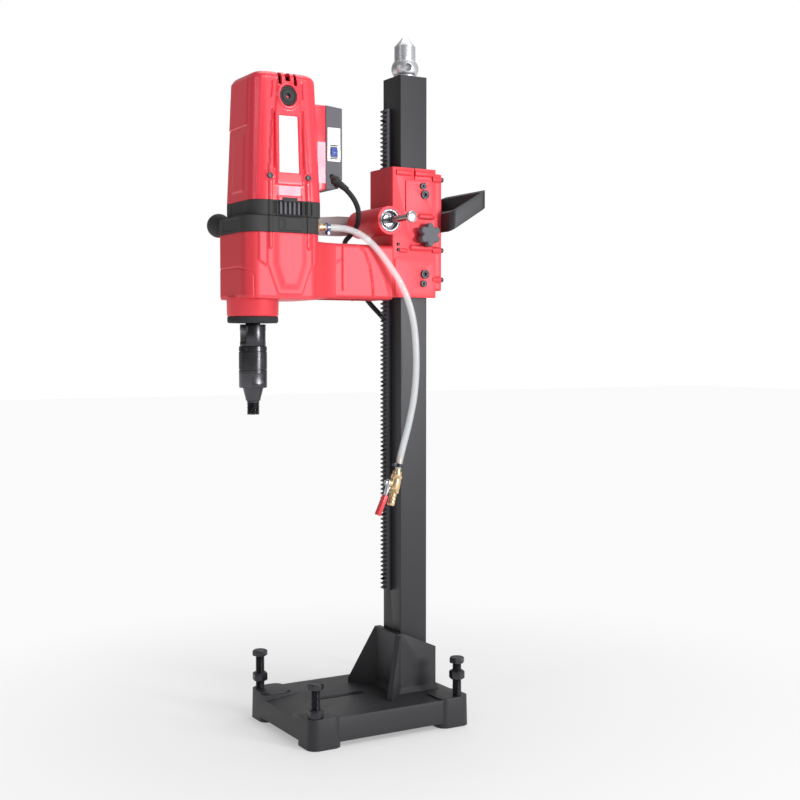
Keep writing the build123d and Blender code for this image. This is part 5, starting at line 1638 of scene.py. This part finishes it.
    def _gearbox(self) -> None:
        """Gearbox casting with shield-shaped flanks, hollow round the gears."""
        mid_y = -270.5
        shift = self.motor_y - mid_y
        shield = tuple((shift + u, z) for u, z in (
            (-26, 868), (26, 868), (26, 812), (13, 774), (-13, 774), (-26, 812)))
        frame_shape = tuple((shift + u, z) for u, z in (
            (-41, 868), (41, 868), (41, 812), (22, 762), (-22, 762), (-41, 812)))
        box = Shell(66.0, 70.5, 25.0, Matrix.Translation((0, mid_y * MM, 0)), [
            Relief(shield, 2.0, 15.0),
            Relief(frame_shape, 1.0, 1.8),
            Relief(tuple((shift + u, z) for u, z in ((-57, 868), (-43, 868), (-43, 808), (-57, 818))), 1.8,
            2.2),
            Relief(tuple((shift + u, z) for u, z in ((43, 868), (57, 868), (57, 816), (43, 808))), 1.8, 2.2),
            Relief(((shift - 36, 840), (shift - 36, 868)), 2.0, 2.4, line=6.0, both_sides=True),
            Relief(((shift + 34, 840), (shift + 34, 868)), 2.0, 2.4, line=6.0, both_sides=True),
            Relief(((-244, 806), (-92, 806), (-62, 800), (-56, 792), (-56, 752)), -1.2, 1.2, line=1.3,
                   both_sides=False),
            Relief(((244, 806), (204, 806), (190, 800)), -1.2, 1.2, line=1.3, both_sides=False),
            Relief(((-244, 757), (244, 757)), -0.8, 2.0, line=2.0, both_sides=False),
        ])
        circle = Turned((0, -301, 0), (0, 0, 1), columns=len(box.places()), twist=-math.pi)
        rings = [circle.ring(Step(754, 27)), box.ring(754, 3.0, False), box.ring(755.2, 0.8)]
        rings += [box.ring(z, 0.0) for z in box.levels(756.5, 862.8, 1.5)]
        rings += [box.ring(864, 0.8), box.ring(864, 6.0, False), box.ring(776, 6.0, False),
            circle.ring(Step(776, 27))]
        points, faces = stitched(rings, True)
        body = outward(mesh_object("gearbox_whole", points, faces))
        dressed(body, RED_CASTING, "carriage", ["gearbox_arm"], degrees=40)
        body.name = "gearbox_cast"

    def _arm(self) -> None:
        """Box arm between the gearbox and the carriage, cored from below."""
        turn = Matrix(((1, 0, 0, 0), (0, 0, -1, 0), (0, 1, 0, 805 * MM), (0, 0, 0, 1)))
        arm = Shell(42.0, 48.0, 7.0, turn, [
            Relief(((21, 150), (46, 150)), -1.3, 1.2, line=1.3),
            Relief(((-34, 150), (21, 150), (1, 190), (-50, 190)), -1.3, 1.2, line=1.3),
            Relief(((-33, 153), (-33, 187)), -0.9, 1.0, line=0.8),
            Relief(((47, 120), (34, 106), (10, 96), (-20, 91), (-50, 89)), 1.6, 3.4, line=2.0),
            Relief(((47, 100), (20, 82), (-12, 65), (-48, 54)), 1.2, 2.6, line=1.6),
        ], spacing=1.5)
        rings = [arm.ring(50.2, 0.0)]
        rings += [arm.ring(along, 0.0) for along in arm.levels(51, 206, 1.5)]
        points, faces = stitched(rings, False)
        body = outward(mesh_object("arm_whole", points, faces))
        core = rounded_box("core", (-36, -180, 750), (36, -62, 844), 8.0, 4)
        dressed(cut(body, [core], "arm_cast"), RED_CASTING, "carriage", degrees=40)
        wings = []
        for side in (-1, 1):
            outline = [(42, -163), (44, -174), (50, -190), (60, -206), (62, -214), (38, -214), (38, -163)]
            levels = [757.5, 759, 764, 846, 851, 852.5]
            insets = [2.4, 0.8, 0.0, 0.0, 0.8, 2.4]
            rings = [np.array([((side * (x - inset if x > 38 else x)) * MM, y * MM, z * MM) for x,
                y in outline])
                     for z, inset in zip(levels, insets)]
            points, faces = stitched(rings, False)
            wings.append(outward(mesh_object("wing", points, faces)))
        dressed(joined("arm_wings", wings), RED_CASTING, "carriage", degrees=40)
        ribs = [rounded_box("web", (-36.5, y - 3, 790), (36.5, y + 3, 846), 1.5, 2) for y in (-100.0, -140.0)]
        dressed(joined("arm_webs", ribs), RED_CASTING, "carriage")

    def _nose(self) -> None:
        """Round nose of the gearbox and the black ring under it."""
        nose = Turned((0, -301, 0), (0, 0, 1), columns=96).build("nose_cast", [
            Step(758, 27), Step(758, 44.8), Step(754, 44.8), Step(752, 44.2), Step(727.5, 43.6),
            Step(726.2, 43.0),
            Step(725.2, 41.8), Step(725.2, 27),
        ], bored=True)
        dressed(nose, RED_CASTING, "carriage")
        seal = Turned((0, -301, 0), (0, 0, 1), columns=96).build("nose_ring", [
            Step(725, 13.0), Step(725, 42.2), Step(724.2, 43.2), Step(716.5, 43.2), Step(715.6, 42.2),
            Step(714.2, 41.4),
            Step(714.2, 30), Step(716, 28), Step(716, 22), Step(714.4, 20.5), Step(714.4, 13.0),
        ], bored=True)
        dressed(seal, SEAL_RUBBER, "carriage", ["seal_ring"])

    def _spindle(self) -> None:
        """Output spindle with spanner flats, and the coupling with its male thread."""
        softened("spindle", SPINDLE_STEEL, 0.7, 2)
        turned = Turned((0, -301, 0), (0, 0, 1), columns=72)
        body = turned.build("coupling_body", [
            Step(675, 9.05), Step(675, 22.6), Step(674.2, 23.6), Step(667, 24.0), Step(666.4, 23.2),
            Step(665.2, 23.2),
            Step(664.6, 24.0), Step(636, 24.0), Step(635.4, 23.5), Step(634.2, 23.5), Step(633.6, 24.0),
            Step(606, 24.0),
            Step(604.2, 23.0), Step(603.6, 17.6), Step(586, 13.0), Step(582.4, 12.2), Step(581.4, 10.6),
            Step(579, 10.4),
            Step(579, 4.0), Step(636, 4.0), Step(638, 9.05),
        ], bored=True)
        flats = [rounded_box("flat", tuple(min(a, b) for a, b in ((s * 21.5, s * 30),)) + (-330, 611),
                             tuple(max(a, b) for a, b in ((s * 21.5, s * 30),)) + (-272, 629), 1.0,
                             2) for s in (-1, 1)]
        milled = cut(body, flats, "coupling_milled")
        thread = turned.thread("coupling_thread", 558.6, 23.4, 11.0, 2.5)
        dressed(joined("coupling", [milled, thread]), SPINDLE_STEEL, "output", ["bit_coupling"], degrees=36)


# ------------------------------------------------------------------ switch box
@dataclass
class SwitchBox:
    """Red switch box base, grey cover and the breaker in it."""

    def build(self) -> None:
        """All pieces of the switch box."""
        softened("switch_box_base", RED_SHELL, 2.6, 3)
        softened("switch_box_cover", GREY_PLASTIC, 3.0, 4)
        softened("breaker_module", WHITE_PLASTIC, 0.7, 2)
        softened("breaker_rocker", BLUE_ROCKER, 0.6, 2)
        self._breaker_face()
        self._labels()

    def _labels(self) -> None:
        """Blank labels: a white one on the motor, pink ones under it and on the box."""
        labels = [("label_white", LABEL_FILM, lambda z, y: z > 0.95 and y < -0.22),
                  ("labels_pink", PINK_FILM, lambda z, y: z < 0.95 or y > -0.22)]
        for name, finish, keep in labels:
            shape = bmesh.new()
            shape.from_mesh(frame["nodes"]["blank_labels"].data)
            drop = [v for v in shape.verts if not keep(v.co.z, v.co.y)]
            bmesh.ops.delete(shape, geom=drop, context="VERTS")
            bmesh.ops.remove_doubles(shape, verts=shape.verts, dist=1e-6)
            dressed(from_shape(name, shape), finish, "carriage", ["blank_labels"])

    def _breaker_face(self) -> None:
        """Raised frame and toggle guard on the breaker's front, and black strips painted as the shadow lines in its
        gaps.
        """
        low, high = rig.box("breaker_module")
        face = high[0] / MM
        y = (low[1] + high[1]) / 2 / MM
        base, top = low[2] / MM, high[2] / MM
        bars = [
            rounded_box("bar", (face - 0.4, y - 11.5, top - 9), (face + 0.5, y + 11.5, top - 7.6), 0.3, 2),
            rounded_box("bar", (face - 0.4, y - 11.5, base + 8), (face + 0.5, y + 11.5, base + 9.4), 0.3, 2),
            rounded_box("bar", (face - 0.4, y - 8.6, top - 24), (face + 0.9, y + 8.6, top - 13), 0.5, 2),
        ]
        dressed(joined("breaker_frame", bars), WHITE_PLASTIC, "carriage")
        # Black strips on the white face: painted shadow in the breaker's gaps, not parts of the breaker.
        painted_shadow_strips = [
            rounded_box("mark", (face - 0.4, y - 7.2, 1019.5), (face + 0.35, y + 7.2, 1021.5), 0.15, 1),
            rounded_box("mark", (face - 0.4, y - 7.2, 997.0), (face + 0.35, y + 7.2, 998.6), 0.15, 1),
        ]
        dressed(joined("breaker_shadow_gaps", painted_shadow_strips), BLACK_PLASTIC, "carriage")


# ------------------------------------------------------------------ hidden works
def dress_inner_works() -> None:
    """Finishes for the solids that stay as they are."""
    surfaces = {
        "column_fasteners": BLACK_STEEL, "column_end_blocks": BLACK_STEEL, "guide_pads": POLYMER,
        "brake_shoe": BRONZE, "stator_core": LAMINATIONS, "field_coils": COPPER,
        "armature_shaft": BRIGHT_STEEL,
        "armature_core": LAMINATIONS, "commutator": COPPER, "cooling_fan": GREY_PLASTIC,
        "carbon_brushes": CARBON,
        "motor_bearings": BRIGHT_STEEL, "gearbox_bearings": BRIGHT_STEEL, "layshaft": BRIGHT_STEEL,
        "layshaft_gear": RACK_STEEL, "spindle_gear": RACK_STEEL, "valve_ball": BRIGHT_STEEL,
    }
    for node, finish in surfaces.items():
        solid = frame["nodes"][node]
        solid.data.materials.clear()
        solid.data.materials.append(finish.material())
        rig.slot(solid, finish.slot)
        LOG.info("solid %s keeps its shape, in %s", node, finish.name)


# ------------------------------------------------------------------ stage
@dataclass
class Stage:
    """Camera, lights and a plain floor."""

    eye: Point = (2.011, -1.190, 0.677)
    way: Flat = (-0.8625, 0.506)
    pitch: float = 2.46
    lens: float = 57.6
    front_light: float = 0.10
    rear_light: float = 0.55

    def build(self) -> None:
        """Camera first, then the floor and the lights."""
        camera = linked("camera", bpy.data.cameras.new("camera"))
        camera.data.lens = self.lens
        camera.data.sensor_width = 36.0
        camera.location = self.eye
        tilt = math.radians(self.pitch)
        look = Vector((self.way[0] * math.cos(tilt), self.way[1] * math.cos(tilt), -math.sin(tilt)))
        camera.rotation_mode = "QUATERNION"
        camera.rotation_quaternion = look.to_track_quat("-Z", "Y")
        camera.data.clip_end = 60.0
        bpy.context.scene.camera = camera
        self._floor()
        self._lights()

    def _floor(self) -> None:
        """Pale floor that runs out of every view."""
        floor = mesh_object("floor", np.array([(-14, -14, 0), (14, -14, 0), (14, 14, 0), (-14, 14, 0)]) * 1.0,
                            [[0, 1, 2, 3]])
        floor.location.z = -0.0004
        material = bpy.data.materials.new("pale_floor")
        material.use_nodes = True
        tree = material.node_tree
        shader = tree.nodes["Principled BSDF"]
        shader.inputs["Base Color"].default_value = (0.93, 0.93, 0.935, 1.0)
        shader.inputs["Roughness"].default_value = 0.7
        shader.inputs["Specular IOR Level"].default_value = 0.2
        where = tree.nodes.new("ShaderNodeTexCoord")
        reach = tree.nodes.new("ShaderNodeVectorMath")
        reach.operation = "LENGTH"
        fade = tree.nodes.new("ShaderNodeMapRange")
        fade.interpolation_type = "SMOOTHSTEP"
        fade.inputs["From Min"].default_value = 0.1
        fade.inputs["From Max"].default_value = 1.1
        fade.inputs["To Min"].default_value = 0.35
        glow = tree.nodes.new("ShaderNodeEmission")
        glow.inputs["Color"].default_value = (0.96, 0.96, 0.965, 1.0)
        glow.inputs["Strength"].default_value = 1.0
        blend = tree.nodes.new("ShaderNodeMixShader")
        tree.links.new(where.outputs["Object"], reach.inputs[0])
        tree.links.new(reach.outputs["Value"], fade.inputs["Value"])
        tree.links.new(fade.outputs["Result"], blend.inputs["Fac"])
        tree.links.new(shader.outputs["BSDF"], blend.inputs[1])
        tree.links.new(glow.outputs["Emission"], blend.inputs[2])
        tree.links.new(blend.outputs["Shader"], tree.nodes["Material Output"].inputs["Surface"])
        floor.data.materials.append(material)
        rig.stage(floor)

    def _lights(self) -> None:
        """White surroundings and soft boxes."""
        bpy.context.scene.view_settings.view_transform = "Standard"
        self._surroundings()
        self._softbox("strip_box", (3.0, 1.27, 0.98), (0.0, -0.15, 0.82), 0.72, 0.74, 55)
        self._softbox("key_box", (2.6, 0.4, 2.9), (0.0, -0.1, 0.75), 1.4, 1.4, 34)
        self._softbox("front_box", (0.6, -3.4, 2.0), (0.0, -0.1, 0.7), 0.8, 1.6, 10)
        self._softbox("top_box", (-0.6, 0.6, 3.4), (0.0, -0.1, 0.6), 2.0, 2.0, 26)

    def _surroundings(self) -> None:
        """White room whose light fades towards the front, for shade on the front faces."""
        world = bpy.data.worlds.new("studio")
        bpy.context.scene.world = world
        world.use_nodes = True
        tree = world.node_tree
        sky = tree.nodes["Background"]
        where = tree.nodes.new("ShaderNodeTexCoord")
        split = tree.nodes.new("ShaderNodeSeparateXYZ")
        fade = tree.nodes.new("ShaderNodeMapRange")
        fade.inputs["From Min"].default_value = -0.9
        fade.inputs["From Max"].default_value = 0.6
        fade.inputs["To Min"].default_value = self.front_light
        fade.inputs["To Max"].default_value = self.rear_light
        path = tree.nodes.new("ShaderNodeLightPath")
        seen = tree.nodes.new("ShaderNodeMix")
        seen.inputs["B"].default_value = 1.0
        tree.links.new(where.outputs["Generated"], split.inputs["Vector"])
        tree.links.new(split.outputs["Y"], fade.inputs["Value"])
        tree.links.new(path.outputs["Is Camera Ray"], seen.inputs["Factor"])
        tree.links.new(fade.outputs["Result"], seen.inputs["A"])
        tree.links.new(seen.outputs["Result"], sky.inputs["Strength"])
        sky.inputs["Color"].default_value = (1.0, 1.0, 1.0, 1.0)

    def _softbox(self, name: str, at: Point, target: Point, width: float, height: float,
        power: float) -> None:
        """A rectangular area light aimed at a point.

        Args:
            name: the light's name.
            at: where it stands.
            target: what it is aimed at.
            width: its width.
            height: its height.
            power: its power in watts.
        """
        light = bpy.data.lights.new(name, "AREA")
        light.shape = "RECTANGLE"
        light.size = width
        light.size_y = height
        light.energy = power
        holder = linked(name, light)
        holder.location = at
        holder.rotation_mode = "QUATERNION"
        holder.rotation_quaternion = (Vector(target) - Vector(at)).to_track_quat("-Z", "Y")


def write_sizes() -> None:
    """The solid model's box and the finished model's box, as lists."""
    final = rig.bounds()
    sizes = {"cad": [list(corner) for corner in cad_box], "visual": [list(corner) for corner in final]}
    with open("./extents.json", "w") as file:
        json.dump(sizes, file)


def main() -> None:
    """Build the stage, the cords and every sub-assembly in order."""
    repeat = Repeat()
    builders: list[tuple[str, Callable[[], None]]] = [
        ("stage", Stage().build),
        ("mains lead", MainsLead().build),
        ("water line", WaterLine().build),
        ("stand", lambda: Stand().build(repeat)),
        ("carriage", lambda: Carriage().build(repeat)),
        ("head", lambda: Head().build(repeat)),
        ("switch box", SwitchBox().build),
        ("inner works", dress_inner_works),
    ]
    for title, build in builders:
        LOG.info("== %s", title)
        build()
    write_sizes()


if __name__ == "__main__":
    main()
